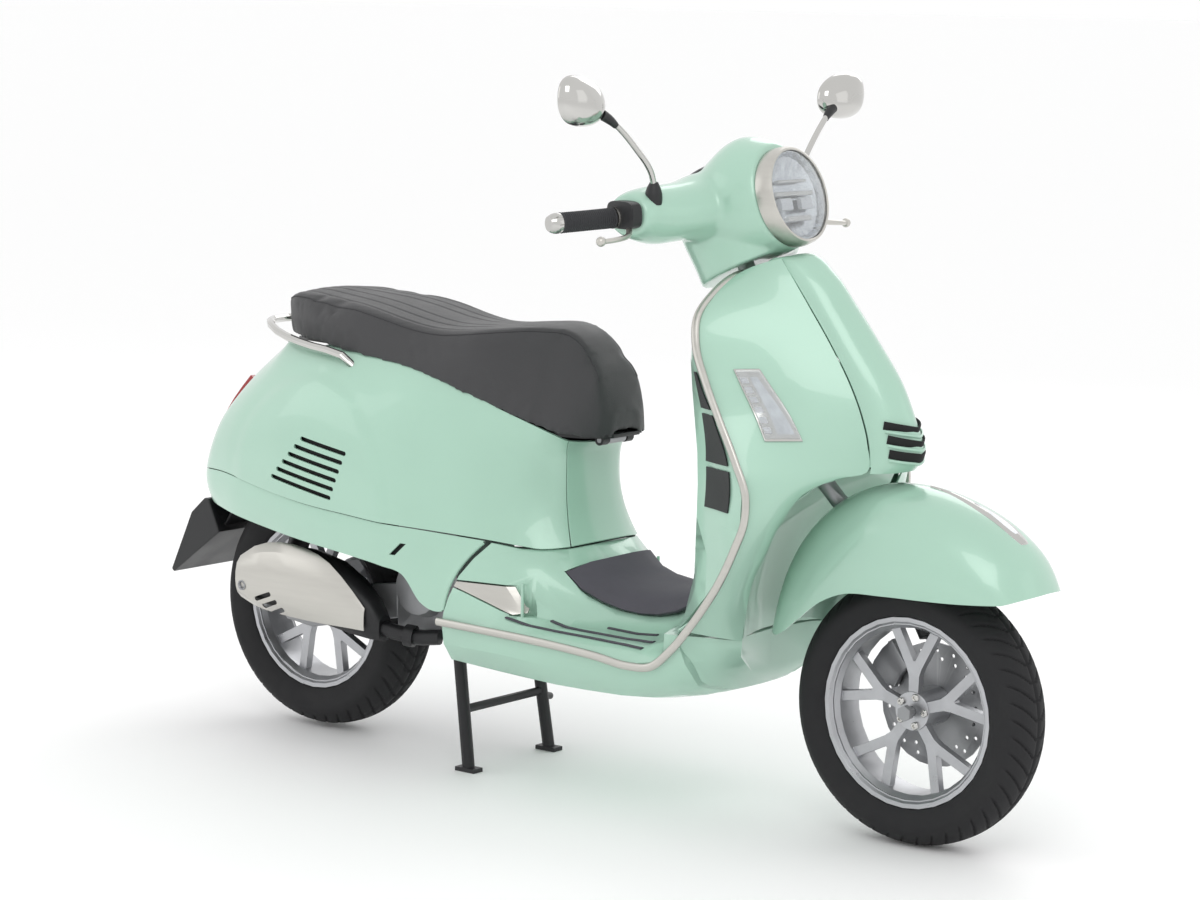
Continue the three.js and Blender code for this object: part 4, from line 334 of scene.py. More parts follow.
def slab_of(outer, inner):
    """Vertices and faces of a closed plate between two grids of points."""
    nu, nv = outer.shape[:2]
    vertices = np.concatenate([outer.reshape(-1, 3), inner.reshape(-1, 3)])
    n = nu * nv
    faces = grid_faces(nu, nv) + [tuple(reversed(f)) for f in grid_faces(nu, nv, n)]
    rim = [i * nv for i in range(nu)] + [(nu - 1) * nv + j for j in range(1, nv)]
    rim += [i * nv + nv - 1 for i in range(nu - 2, -1, -1)] + [j for j in range(nv - 2, 0, -1)]
    faces += [(a, b, b + n, a + n) for a, b in zip(rim, rim[1:] + rim[:1])]
    return vertices, faces


def panel(name, surface, us, vs, material, body, replaces=(), thick=4.0, lift=0.0, shape=None,
          mirror=False, bevel=0.9):
    """A plate over a patch of a surface; shape gives the extra lift of each point."""
    points, normal = surface.shell(us, vs)
    extra = shape(points) if shape else 0.0
    rise = np.broadcast_to(lift + np.asarray(extra, float), points.shape[:2])[..., None]
    outer, inner = points + normal * rise, points + normal * (rise - thick)
    if mirror:
        outer, inner = outer * [1, -1, 1], inner * [1, -1, 1]
    vertices, faces = slab_of(place(outer), place(inner))
    return new_object(name, vertices, faces, material, body, replaces, bevel=bevel)


def tube(name, points, radius, material, body, sides=16, steps=60, replaces=(), flat=None):
    """A rod along a smooth curve, closed at its ends: round, or oblong with flat=(wide, high, up)."""
    points = np.array(points, float)
    knots = np.concatenate([[0], np.cumsum(np.linalg.norm(np.diff(points, axis=0), axis=1))])
    ts = np.linspace(0, knots[-1], steps)
    line = weights(knots, ts) @ points
    tangent = np.gradient(line, axis=0)
    tangent /= np.linalg.norm(tangent, axis=1, keepdims=True)
    hint = np.array(flat[2] if flat else (0.05, 0.1, 1.0), float)
    side = np.cross(tangent, hint)
    side /= np.linalg.norm(side, axis=1, keepdims=True)
    up = np.cross(side, tangent)
    angle = np.linspace(0, 2 * math.pi, sides, endpoint=False)
    stated = np.atleast_1d(np.asarray(radius, float))
    radii = np.interp(np.linspace(0, 1, steps), np.linspace(0, 1, len(stated)), stated)
    wide, high = (flat[0] / 2, flat[1] / 2) if flat else (1.0, 1.0)
    scale = np.ones(steps) if flat else radii
    power = 0.55 if flat else 1.0
    c = np.sign(np.cos(angle)) * np.abs(np.cos(angle)) ** power * wide
    s = np.sign(np.sin(angle)) * np.abs(np.sin(angle)) ** power * high
    rings = (line[:, None] + side[:, None] * (c[None, :, None] * scale[:, None, None])
             + up[:, None] * (s[None, :, None] * scale[:, None, None]))
    return new_object(name, place(rings.reshape(-1, 3)), ring_faces(steps, sides), material, body,
                      replaces, sharp=50)


def lathe(name, profile, centre, axis, material, body, slot, sides=96, replaces=(), sharp=40,
          offset=None):
    """A turned solid; profile is a closed loop of (radius, along); offset moves radii in place."""
    axis = Vector(axis).normalized()
    side = axis.orthogonal().normalized()
    other = axis.cross(side)
    angle = np.linspace(0, 2 * math.pi, sides, endpoint=False)
    profile = np.array(profile, float)
    radii = np.repeat(profile[None, :, 0], sides, 0)
    if offset:
        radii = radii + offset(angle[:, None], profile[None, :, 0], profile[None, :, 1])
    direction = np.cos(angle)[:, None] * np.array(side) + np.sin(angle)[:, None] * np.array(other)
    points = (np.array(centre, float) + radii[..., None] * direction[:, None]
              + profile[None, :, 1, None] * np.array(axis))
    n = len(profile)
    faces = []
    for i in range(sides):
        a, b = i * n, ((i + 1) % sides) * n
        faces += [(a + j, b + j, b + (j + 1) % n, a + (j + 1) % n) for j in range(n)]
    return new_object(name, place(points.reshape(-1, 3)), faces, material, body, replaces, sharp)


def refined(node, material, bevel=1.0, sharp=30.0):
    """The CAD node's shape with softened edges and smooth faces."""
    source = frame["nodes"][node]
    obj = bpy.data.objects.new(node + "_fine", source.data.copy())
    bpy.context.scene.collection.objects.link(obj)
    work = bmesh.new()
    work.from_mesh(obj.data)
    bmesh.ops.remove_doubles(work, verts=work.verts, dist=2e-5)
    bmesh.ops.dissolve_limit(work, angle_limit=math.radians(1.5), verts=work.verts, edges=work.edges)
    work.to_mesh(obj.data)
    work.free()
    return finish_object(obj, material, BODY_OF[node], (node,), sharp, bevel)


def surface_of(obj):
    """A search tree over an object's faces, in the row frame."""
    world = obj.matrix_world
    return BVHTree.FromPolygons([world @ v.co for v in obj.data.vertices],
                                [p.vertices for p in obj.data.polygons])


def evaluated(obj):
    """Applies an object's modifiers to its mesh."""
    graph = bpy.context.evaluated_depsgraph_get()
    mesh = bpy.data.meshes.new_from_object(obj.evaluated_get(graph))
    obj.modifiers.clear()
    obj.data = mesh
    return obj


def carve(obj, cutters):
    """Cuts closed meshes out of an object and leaves no modifier behind."""
    edge = [(m.width, m.angle_limit) for m in obj.modifiers if m.type == "BEVEL"]
    obj.modifiers.clear()
    for cutter in cutters:
        cut = obj.modifiers.new("cut", "BOOLEAN")
        cut.object, cut.operation, cut.solver = cutter, "DIFFERENCE", "EXACT"
    evaluated(obj)
    for cutter in cutters:
        bpy.data.objects.remove(cutter)
    obj.data.set_sharp_from_angle(angle=math.radians(32))
    for width, angle in edge:
        soft = obj.modifiers.new("edge", "BEVEL")
        soft.width, soft.segments, soft.limit_method, soft.angle_limit = width, 2, "ANGLE", angle
        soft.harden_normals = True


def cutter_along_y(outline, y_from, y_to):
    """A prism cutter from an outline in X and Z (mm)."""
    n = len(outline)
    points = [(x, y_from, z) for x, z in outline] + [(x, y_to, z) for x, z in outline]
    faces = [tuple(range(n)), tuple(range(2 * n - 1, n - 1, -1))]
    faces += [(i, i + n, (i + 1) % n + n, (i + 1) % n) for i in range(n)]
    mesh = bpy.data.meshes.new("cutter")
    mesh.from_pydata([tuple(p) for p in place(points)], [], faces)
    work = bmesh.new()
    work.from_mesh(mesh)
    bmesh.ops.recalc_face_normals(work, faces=work.faces)
    work.to_mesh(mesh)
    work.free()
    obj = bpy.data.objects.new("cutter", mesh)
    bpy.context.scene.collection.objects.link(obj)
    return obj


# ---------------------------------------------------------------- materials
def srgb(red, green, blue):
    return tuple(((c / 255 + 0.055) / 1.055) ** 2.4 if c > 10 else c / 255 / 12.92 for c in (red, green,
                                                                                             blue))


def material(name, colour, rough, metal=0.0, vary=0.06, vary_scale=14.0, rough_vary=0.06, bump=0.0,
             bump_scale=900.0, bump_kind="noise", coat=0.0, flake=0.0, stretch=(1, 1, 1), edge_wear=0.0,
             **sockets):
    made = bpy.data.materials.new(name)
    made.use_nodes = True
    tree = made.node_tree
    shader = tree.nodes["Principled BSDF"]
    shader.inputs["Metallic"].default_value = metal
    shader.inputs["Coat Weight"].default_value = coat
    if coat:
        shader.inputs["Coat Roughness"].default_value = 0.04
    for socket, value in sockets.items():
        shader.inputs[socket.replace("_", " ")].default_value = value

    def node(kind, **values):
        item = tree.nodes.new(kind)
        for key, value in values.items():
            item.inputs[key.replace("_", " ")].default_value = value
        return item

    place_node = node("ShaderNodeTexCoord")
    mapping = node("ShaderNodeMapping", Scale=stretch)
    tree.links.new(place_node.outputs["Object"], mapping.inputs["Vector"])
    broad = node("ShaderNodeTexNoise", Scale=vary_scale, Detail=4.0)
    tree.links.new(mapping.outputs["Vector"], broad.inputs["Vector"])
    ramp = node("ShaderNodeValToRGB")
    base = colour if len(colour) == 3 else srgb(*colour)
    for stop, factor in zip(ramp.color_ramp.elements, (1 - vary, 1 + vary)):
        stop.color = (*[min(1.0, c * factor) for c in base], 1)
    ramp.color_ramp.elements[0].position, ramp.color_ramp.elements[1].position = 0.3, 0.7
    tree.links.new(broad.outputs["Fac"], ramp.inputs["Fac"])
    colour_out = ramp.outputs["Color"]
    if flake:
        sparkle = node("ShaderNodeTexVoronoi", Scale=2600.0)
        tree.links.new(mapping.outputs["Vector"], sparkle.inputs["Vector"])
        blend = tree.nodes.new("ShaderNodeMix")
        blend.data_type = "RGBA"
        blend.blend_type = "OVERLAY"
        blend.inputs["Factor"].default_value = flake
        tree.links.new(colour_out, blend.inputs[6])
        tree.links.new(sparkle.outputs["Color"], blend.inputs[7])
        colour_out = blend.outputs[2]
    if edge_wear:
        geometry = tree.nodes.new("ShaderNodeNewGeometry")
        worn = node("ShaderNodeMapRange", From_Min=0.52, From_Max=0.62, To_Min=0.0, To_Max=edge_wear)
        tree.links.new(geometry.outputs["Pointiness"], worn.inputs["Value"])
        blend = tree.nodes.new("ShaderNodeMix")
        blend.data_type = "RGBA"
        tree.links.new(worn.outputs["Result"], blend.inputs["Factor"])
        tree.links.new(colour_out, blend.inputs[6])
        blend.inputs[7].default_value = (*[min(1.0, c * 1.5 + 0.05) for c in base], 1)
        colour_out = blend.outputs[2]
    tree.links.new(colour_out, shader.inputs["Base Color"])
    spread = node("ShaderNodeMapRange", From_Min=0.3, From_Max=0.7,
                  To_Min=max(0.02, rough - rough_vary), To_Max=min(1.0, rough + rough_vary))
    tree.links.new(broad.outputs["Fac"], spread.inputs["Value"])
    tree.links.new(spread.outputs["Result"], shader.inputs["Roughness"])
    if bump:
        if bump_kind == "voronoi":
            fine = node("ShaderNodeTexVoronoi", Scale=bump_scale)
            height = fine.outputs["Distance"]
        else:
            fine = node("ShaderNodeTexNoise", Scale=bump_scale, Detail=3.0)
            height = fine.outputs["Fac"]
        tree.links.new(mapping.outputs["Vector"], fine.inputs["Vector"])
        relief = node("ShaderNodeBump", Strength=bump, Distance=0.0006)
        tree.links.new(height, relief.inputs["Height"])
        tree.links.new(relief.outputs["Normal"], shader.inputs["Normal"])
    return made


MINT = srgb(163, 200, 181)
PAINT = material("paint", MINT, 0.32, 0.1, vary=0.02, vary_scale=5.0, rough_vary=0.03, coat=0.8,
                 flake=0.03, bump=0.03, bump_scale=420.0)
BLACK = material("black_plastic", srgb(24, 25, 27), 0.42, vary=0.12, bump=0.35, bump_scale=2200.0,
                 edge_wear=0.25)
# Painted shade: a near-black colour for plates and strips that stand in for the shade inside vents,
# seams, skirt holes and horn slots.
PAINTED_SHADE = material("painted_shade_dark", srgb(13, 13, 14), 0.75, vary=0.2, bump=0.3, bump_scale=1500.0)
VINYL = material("seat_vinyl", srgb(52, 52, 54), 0.58, vary=0.07, vary_scale=26.0, bump=0.5,
                 bump_scale=950.0, bump_kind="voronoi", edge_wear=0.2, Sheen_Weight=0.15)
THREAD = material("seat_thread", srgb(58, 58, 60), 0.8, vary=0.2, vary_scale=900.0, bump=0.6,
                  bump_scale=2400.0)
SATIN = material("satin_metal", srgb(196, 194, 188), 0.34, 1.0, vary=0.03, rough_vary=0.05, bump=0.06,
                 bump_scale=1800.0, stretch=(1, 1, 8))
CHROME = material("chrome", srgb(196, 195, 192), 0.1, 1.0, vary=0.03, vary_scale=8.0, rough_vary=0.03)
GRAPHITE = material("graphite", srgb(176, 177, 180), 0.33, 0.9, vary=0.07, vary_scale=30.0, bump=0.1,
                    bump_scale=1400.0, edge_wear=0.6)
ALLOY = material("alloy", srgb(150, 151, 153), 0.5, 0.85, vary=0.12, vary_scale=22.0, bump=0.45,
                 bump_scale=1100.0, edge_wear=0.3)
TYRE = material("tyre", srgb(27, 27, 29), 0.82, vary=0.16, vary_scale=24.0, bump=0.35,
                bump_scale=1300.0, edge_wear=0.25)
STEEL = material("steel", srgb(148, 149, 151), 0.38, 1.0, vary=0.08, vary_scale=20.0, bump=0.15,
                 bump_scale=1500.0, edge_wear=0.3)
SILENCER = material("silencer_black", srgb(34, 34, 36), 0.42, 0.3, vary=0.15, bump=0.3,
                    bump_scale=1200.0, edge_wear=0.3)
MAT_RUBBER = material("mat_rubber", srgb(78, 76, 84), 0.8, vary=0.08, vary_scale=30.0, bump=0.5,
                      bump_scale=1500.0)
GRIP = material("grip_rubber", srgb(46, 47, 50), 0.72, vary=0.1, bump=0.4, bump_scale=1700.0)
GLASS = material("clear_lens", (0.93, 0.95, 0.96), 0.05, vary=0.01, rough_vary=0.02,
                 Transmission_Weight=0.92, IOR=1.46)
REFLECTOR = material("lamp_reflector", srgb(205, 208, 212), 0.16, 1.0, vary=0.12, vary_scale=60.0,
                     bump=0.25, bump_scale=220.0)
RED = material("red_lens", srgb(176, 34, 34), 0.16, vary=0.1, vary_scale=60.0, bump=0.25,
               bump_scale=260.0, coat=0.6, Transmission_Weight=0.25)
LED = material("led_dots", srgb(238, 240, 244), 0.3, vary=0.05, vary_scale=200.0, bump=0.2,
               bump_scale=900.0)


# ---------------------------------------------------------------- body panels
def spaced(bounds, count):
    return np.linspace(bounds[0], bounds[1], count)


DOME_CENTRE, DOME_REACH, DOME_RISE = (120.0, 470.0), (222.0, 250.0), 3.4
HOLLOW_CENTRE, HOLLOW_REACH, HOLLOW_DEPTH = (560.0, 555.0), (38.0, 75.0), 5.0


def dome(x, z):
    """The swelling over the engine: a soft step along its outline, on the side panel."""
    reach = np.hypot((x - DOME_CENTRE[0]) / DOME_REACH[0], (z - DOME_CENTRE[1]) / DOME_REACH[1])
    return DOME_RISE * (1 - smoothstep(0.93, 1.05, reach))


def knee_hollow(x, z):
    """The shallow hollow in front of it."""
    across, up = (x - HOLLOW_CENTRE[0]) / HOLLOW_REACH[0], (z - HOLLOW_CENTRE[1]) / HOLLOW_REACH[1]
    return -HOLLOW_DEPTH * np.exp(-across ** 2 - up ** 2)


def side_shape(points):
    x, z = points[..., 0], points[..., 2]
    return dome(x, z) + knee_hollow(x, z)


def slanted_slot(corner, along, length, high):
    """Outline of a slot with round ends, from its left middle."""
    ax, az = along
    across = (-az, ax)
    points = []
    for end, start in ((length - high / 2, -90), (high / 2, 90)):
        for d in range(start, start + 181, 30):
            a, b = end + high / 2 * math.cos(math.radians(d)), high / 2 * math.sin(math.radians(d))
            points.append((corner[0] + ax * a + across[0] * b, corner[1] + az * a + across[1] * b))
    return points


VENTS, VENT_HEIGHT = 6, 8.5
VENT_TOP, VENT_BOTTOM = ((116, 606), (240, 588)), ((28, 524), (200, 500))


def vent_outlines():
    for i in range(VENTS):
        share = i / (VENTS - 1)
        left = np.array(VENT_TOP[0]) * (1 - share) + np.array(VENT_BOTTOM[0]) * share
        right = np.array(VENT_TOP[1]) * (1 - share) + np.array(VENT_BOTTOM[1]) * share
        length = float(np.linalg.norm(right - left))
        yield slanted_slot(left, (right - left) / length, length, VENT_HEIGHT)


SEAM_SHARE = 0.0007  # of the rear body's way round, left open on each side of a seam
SKIRT_TOP, PANEL_FOOT = 0.9857, 0.0033
SKIRT_CUT = [(352, 412), (366, 412), (392, 436), (378, 436)]
NOTCH_SHADE_OUTLINE = [(350, 410), (368, 410), (394, 438), (376, 438)]
SKIRT_SEAM_DEPTH, SKIRT_SEAM_RADIUS = 4.0, 4.4


def places_between(knots, count):
    """Evenly spaced places within each span of the knots, with every knot kept once."""
    return np.unique(np.concatenate([spaced(ends, count) for ends in zip(knots, knots[1:])]))


def rear_panels():
    lower = places_between(SKIRT.u, 9)
    skirt = panel("body_skirt", SKIRT, lower, spaced((0, SKIRT_TOP), 14), PAINT, "frame",
                  ("rear_body",))
    carve(skirt, [cutter_along_y(SKIRT_CUT, y, y + 60) for y in (-250, 190)])
    for side, mirror in (("left", False), ("right", True)):
        us = places_between([rear_u(k) for k in range(COLUMN_SEAM + 1)], 11)
        us[0] += SEAM_SHARE
        us[-1] -= SEAM_SHARE
        skin = panel("side_cover_" + side, REAR, us, spaced((PANEL_FOOT, 1), 56), PAINT, "frame",
                     ("side_panel_" + side,), shape=side_shape, mirror=mirror)
        sign = -1 if mirror else 1
        carve(skin, [cutter_along_y(o, *sorted((sign * 150, sign * 260))) for o in vent_outlines()])
        # A dark plate of painted shade behind the vent slots, for the shade inside them.
        panel("vent_painted_shade_" + side, REAR, spaced((rear_u(4), rear_u(7)), 24), spaced((0.02, 0.5), 14),
              PAINTED_SHADE, "frame", thick=2.0, lift=-5.0, mirror=mirror)
    panel("column_shell", REAR, spaced((rear_u(COLUMN_SEAM) + SEAM_SHARE, 1 - SEAM_SHARE), 40),
          spaced((PANEL_FOOT, 1), 44), PAINT, "frame", ("column_cover",))
    for side, edge in (("left", 1.0), ("right", 0.0)):
        tube("skirt_seam_" + side, [SKIRT.at(edge, v,
                                             -SKIRT_SEAM_DEPTH) for v in spaced((0.02, 0.97), 20)],
             SKIRT_SEAM_RADIUS, PAINT, "frame", sides=10, steps=80)
    panel("seam_shadow", REAR, spaced((rear_u(0), 0.9995), 180), spaced((0.0, 0.03), 3), PAINTED_SHADE, "frame",
          thick=2.0, lift=-5.0)
    # Thin dark plates of painted shade sit in the holes cut in the skirt, for the shade inside them.
    for sign in (-1, 1):
        notch = cutter_along_y(NOTCH_SHADE_OUTLINE, *sorted((sign * 214, sign * 217)))
        notch.name = "skirt_notch_shade_" + ("left" if sign > 0 else "right")
        finish_object(notch, PAINTED_SHADE, "frame")


COWL_SEAM_DEPTH, COWL_SEAM_RADIUS = 2.6, 2.9
RIDGE_RISE, RIDGE_HALF_WIDTH = 1.6, 17.0


def shield_panels():
    for side, mirror in (("left", False), ("right", True)):
        panel("shield_" + side, SHIELD, spaced((0.0, 0.995), 30), spaced((0.005, 1), 90), PAINT,
              "frame", ("leg_shield_" + side,), mirror=mirror)

    def ridge(points):
        y, z = points[..., 1], points[..., 2]
        return RIDGE_RISE * np.exp(-(y / RIDGE_HALF_WIDTH) ** 4) * smoothstep(640, 700, z)

    panel("cowl_front", HORN, spaced((0.0, 1.0), 40), spaced((0, 1), 80), PAINT, "frame",
          ("horn_cover",), shape=ridge)
    panel("fender_shell", FENDER, spaced((0, 1), 44), spaced((0, 1), 90), PAINT, "steering",
          ("front_fender",), thick=3.0)
    for side, edge in (("left", 1.0), ("right", 0.0)):
        tube("cowl_seam_" + side, [HORN.at(edge, v,
                                           -COWL_SEAM_DEPTH) for v in spaced((0.03, 0.97), 24)],
             COWL_SEAM_RADIUS, PAINT, "frame", sides=10, steps=120)
    edge_trim()


TRIM_HALF_WIDTH, TRIM_HALF_HEIGHT, TRIM_STEPS = 7.5, 4.0, 300


def edge_trim():
    """The bright strip round the leg shield's edge, over the top and down both sides."""
    line = np.array(mirror_column(TRIM_LINE) + [list(p) for p in TRIM_LINE[:-1][::-1]], float)
    knots = np.concatenate([[0], np.cumsum(np.linalg.norm(np.diff(line, axis=0), axis=1))])
    path = weights(knots, np.linspace(0, knots[-1], TRIM_STEPS)) @ line
    tangent = np.gradient(path, axis=0)
    tangent /= np.linalg.norm(tangent, axis=1, keepdims=True)
    top = smoothstep(760, 940, path[:, 2])
    y = path[:, 1]
    sideways = np.sign(y + 1e-6) * np.minimum(1, np.abs(y) / 60) * (1 - 0.55 * top)
    out = np.stack([0 * top, sideways, top], axis=1)
    out -= tangent * (out * tangent).sum(1, keepdims=True)
    out /= np.linalg.norm(out, axis=1, keepdims=True)
    across = np.cross(tangent, out)
    section = [(-1, -0.45), (-0.95, 0.2), (-0.7, 0.72), (-0.3, 0.98), (0, 1.04), (0.3, 0.98),
               (0.7, 0.72), (0.95, 0.2), (1, -0.45), (0.8, -0.95), (-0.8, -0.95)]
    rings = np.stack([path + across * TRIM_HALF_WIDTH * a + out * TRIM_HALF_HEIGHT * b for a,
                      b in section], axis=1)
    new_object("shield_edge_trim", place(rings.reshape(-1, 3)), ring_faces(TRIM_STEPS, len(section)),
               SATIN, "frame", ("shield_trim",), sharp=50)


HORN_SLOTS, HORN_SLOT_FOOT, HORN_SLOT_PITCH, HORN_SLOT_FALL = 3, 0.088, 0.05, 0.034


def horn_slots():
    """Dark V-shaped strips of painted shade across the horn cover for its slots, each with a lip in
    body paint under it.
    """
    for k in range(HORN_SLOTS):
        low = HORN_SLOT_FOOT + HORN_SLOT_PITCH * k
        # The gap strip is painted shade laid just above the surface, though labelled black plastic; the
        # lip is body paint.
        for part, mat, slot, high, lift, drop in (("gap", PAINTED_SHADE, "black_plastic", 16.0, 0.9, 0.0),
                                                  ("lip", PAINT, "paint", 5.0, 3.0, -0.021)):
            path = [HORN.at(u, low + drop - HORN_SLOT_FALL * (1 - abs(2 * u - 1)), lift)
                    for u in np.linspace(0.16, 0.84, 15)]
            tube(f"horn_slot_{part}_{k}", path, 1.0, mat, "frame", sides=12, steps=40,
                 flat=(3.5, high, (0.3, 0, 1)))
# ---------------------------------------------------------------- seat
SEAT_SECTION = 48
PAD_INSET, PAD_VOXEL = 4.0, 5.5
AIR_PRESSURE, AIR_FRAMES, MOST_SWELL = 4.0, 20, 5.0
CHANNELS = (-0.72, -0.44, -0.15, 0.15, 0.44, 0.72)  # shares of the seat's half-width
CHANNEL_DEPTH, CHANNEL_WIDTH = 1.9, 3.2
TUCK_DEPTH, TUCK_WIDTH = 1.5, 3.4
SEAM_RADIUS = 1.5


def seat_profile(station):
    """Points round one section of the seat, from the top centre down the left side to the bottom."""
    _, wb, zb, wc, zc, zt = station
    return np.array([(0, zt), (0.35 * wc, zt - 0.1 * (zt - zc)),
                     (0.7 * wc, 0.38 * zt + 0.62 * zc + 1.2), (0.93 * wc, zc + 1.4), (wc + 1.5, zc - 4),
                     (0.6 * wc + 0.4 * wb + 4, 0.62 * zc + 0.38 * zb),
                     (0.22 * wc + 0.78 * wb + 2.5, 0.25 * zc + 0.75 * zb), (wb, zb + 8),
                     (wb - 3, zb + 0.5), (wb - 10, zb + 3), (0.5 * wb, zb + 12), (0, zb + 12)], float)


def seat_rows(count):
    """Stations of the seat, closer together over its two rounded ends."""
    stations = np.array(SEAT_STATIONS, float)
    knots = stations[:, 0]
    tail = np.linspace(knots[0] + 3, 20, 14)[:-1]
    nose = [700, 710, 718, 726, 732, 738]
    xs = np.concatenate([tail, np.linspace(20, 690, count), nose])
    rows = weights(knots, xs) @ stations
    rows[:, 0] = xs
    return rows


def crease(x):
    """Half-width and height of the seat's crease."""
    stations = np.array(SEAT_STATIONS, float)
    row = weights(stations[:, 0], np.atleast_1d(x)) @ stations
    return row[:, 3], row[:, 4]


def seat_blank():
    """The pad before it swells: a lofted form, a little small, in even square faces."""
    rings = []
    for row in seat_rows(64):
        keys = seat_profile(row)
        along = np.concatenate([[0], np.cumsum(np.linalg.norm(np.diff(keys, axis=0), axis=1))])
        half = weights(along, np.linspace(0, along[-1], SEAT_SECTION)) @ keys
        whole = np.concatenate([half, half[1:-1][::-1] * [-1, 1]])
        rings.append([(row[0], y, z) for y, z in whole])
    vertices, faces = closed_mesh(np.array(rings))
    pad = new_object("seat_pad", vertices, faces, VINYL, "seat_lid", ("seat_cushion",),
                     sharp=180)
    inset = pad.modifiers.new("start", "DISPLACE")
    inset.strength, inset.mid_level = -PAD_INSET * MM, 0.0
    mesher = pad.modifiers.new("voxels", "REMESH")
    mesher.mode, mesher.voxel_size, mesher.use_smooth_shade = "VOXEL", PAD_VOXEL * MM, True
    return evaluated(pad)


def swell(pad):
    """Fills the pad with air, and caps how far each point may move."""
    rest = np.array([v.co[:] for v in pad.data.vertices])
    cloth = pad.modifiers.new("air", "CLOTH")
    cloth.settings.use_pressure = True
    cloth.settings.uniform_pressure_force = AIR_PRESSURE
    cloth.settings.effector_weights.gravity = 0.0
    cloth.settings.quality = 4
    cloth.settings.tension_stiffness = cloth.settings.compression_stiffness = 18.0
    cloth.settings.bending_stiffness = 4.0
    cloth.collision_settings.use_collision = False
    cloth.point_cache.frame_start, cloth.point_cache.frame_end = 1, AIR_FRAMES
    for frame_number in range(1, AIR_FRAMES + 1):
        bpy.context.scene.frame_set(frame_number)
    evaluated(pad)
    bpy.context.scene.frame_set(1)
    moved = np.array([v.co[:] for v in pad.data.vertices]) - rest
    size = np.linalg.norm(moved, axis=1, keepdims=True)
    points = rest + moved * np.minimum(1, MOST_SWELL * MM / np.maximum(size, 1e-9))
    pad.data.vertices.foreach_set("co", points.ravel())
    pad.data.update()
    extra = pad.modifiers.new("fine", "SUBSURF")
    extra.levels = extra.render_levels = 1
    evaluated(pad)
    pad.data.shade_smooth()


def sew(pad):
    """Presses the sewn channels into the top, and the tucked line of the seam at the crease."""
    count = len(pad.data.vertices)
    co, normals = np.zeros(count * 3), np.zeros(count * 3)
    pad.data.vertices.foreach_get("co", co)
    pad.data.vertices.foreach_get("normal", normals)
    co, normals = co.reshape(-1, 3), normals.reshape(-1, 3)
    x, y, z = co[:, 0] / MM + ORIGIN_X, co[:, 1] / MM, co[:, 2] / MM
    half, level = crease(np.clip(x, SEAT_STATIONS[0][0] + 1, SEAT_STATIONS[-1][0] - 1))
    share = y / np.maximum(half, 20)
    depth = np.zeros(count)
    fade = smoothstep(-38, 10, x) * (1 - smoothstep(440, 520, x))
    for channel in CHANNELS:
        line = channel + 0.10 * np.sin((x - 60) / 170.0) * np.sign(channel)
        away = np.abs(share - line) * half
        depth += CHANNEL_DEPTH * np.exp(-(away / CHANNEL_WIDTH) ** 2) * fade
    on_top = smoothstep(0.35, 0.7, normals[:, 2])
    tuck = TUCK_DEPTH * np.exp(-(((np.abs(y) - half) ** 2 + (z - level) ** 2) / TUCK_WIDTH ** 2))
    co -= normals * ((depth * on_top + tuck) * MM)[:, None]
    pad.data.vertices.foreach_set("co", co.ravel())
    pad.data.update()


def seat():
    pad = seat_blank()
    swell(pad)
    sew(pad)
    skin = surface_of(pad)
    xs = np.linspace(-30, 712, 60)
    wide, high = crease(xs)
    for side, name in ((-1, "right"), (1, "left")):
        path = np.stack([xs, side * (wide + 0.6), high - 0.8], axis=1)
        path = [in_mm(skin.find_nearest(p)[0]) for p in place(path)]
        tube("seat_seam_" + name, path, SEAM_RADIUS, THREAD, "seat_lid", sides=8,
             steps=240)
    refined("seat_base", BLACK, bevel=1.5)


# ---------------------------------------------------------------- headset
def oval_rings(stations, build, count=26, sides=56):
    table = np.array(stations, float)
    knots = np.concatenate([[0],
                            np.cumsum(np.maximum(np.linalg.norm(np.diff(table[:, :3], axis=0), axis=1),
                                                 1))])
    rows = weights(knots, np.linspace(0, knots[-1], count)) @ table
    angles = np.linspace(0, 2 * math.pi, sides, endpoint=False)
    return np.array([[build(row, a) for a in angles] for row in rows])


def closed_mesh(rings):
    return place(rings.reshape(-1, 3)), ring_faces(*rings.shape[:2])


RAKE = math.radians(26.5)
STEER_HEAD = np.array([985.0, 0, 985.0])
STEER_UP = np.array([-math.sin(RAKE), 0, math.cos(RAKE)])
STEER_AHEAD = np.array([math.cos(RAKE), 0, math.sin(RAKE)])
LAMP = np.array([1098.0, 0, 1110.0])
LAMP_TILT = math.radians(16.4)
LAMP_AXIS = np.array([math.cos(LAMP_TILT), 0, math.sin(LAMP_TILT)])
LAMP_UP = np.array([-math.sin(LAMP_TILT), 0, math.cos(LAMP_TILT)])


def squared(value, power=0.85):
    return math.copysign(abs(value) ** power, value)


def neck_point(row, a):
    up, mid, front, rear, half = row
    c = math.cos(a)
    reach = mid + (front if c > 0 else rear) * squared(c)
    return STEER_HEAD + STEER_UP * up + STEER_AHEAD * reach + np.array([0, half * squared(math.sin(a)),
                                                                        0])


def cowl_point(row, a):
    behind, up, down, half = row
    c = math.cos(a)
    aside = np.array([0, half * math.sin(a), 0])
    return LAMP - LAMP_AXIS * behind + LAMP_UP * ((up if c > 0 else down) * c) + aside


def arm_point(row, a, side):
    y, x, z, depth, height = row
    return np.array([x + depth * math.cos(a), side * y, z + height * math.sin(a)])


LAMP_SEAT = 30.2  # how far behind the lamp's middle the shell's flat face lies
SHELL_VOXEL, SHELL_SMOOTHING = 3.5, 26


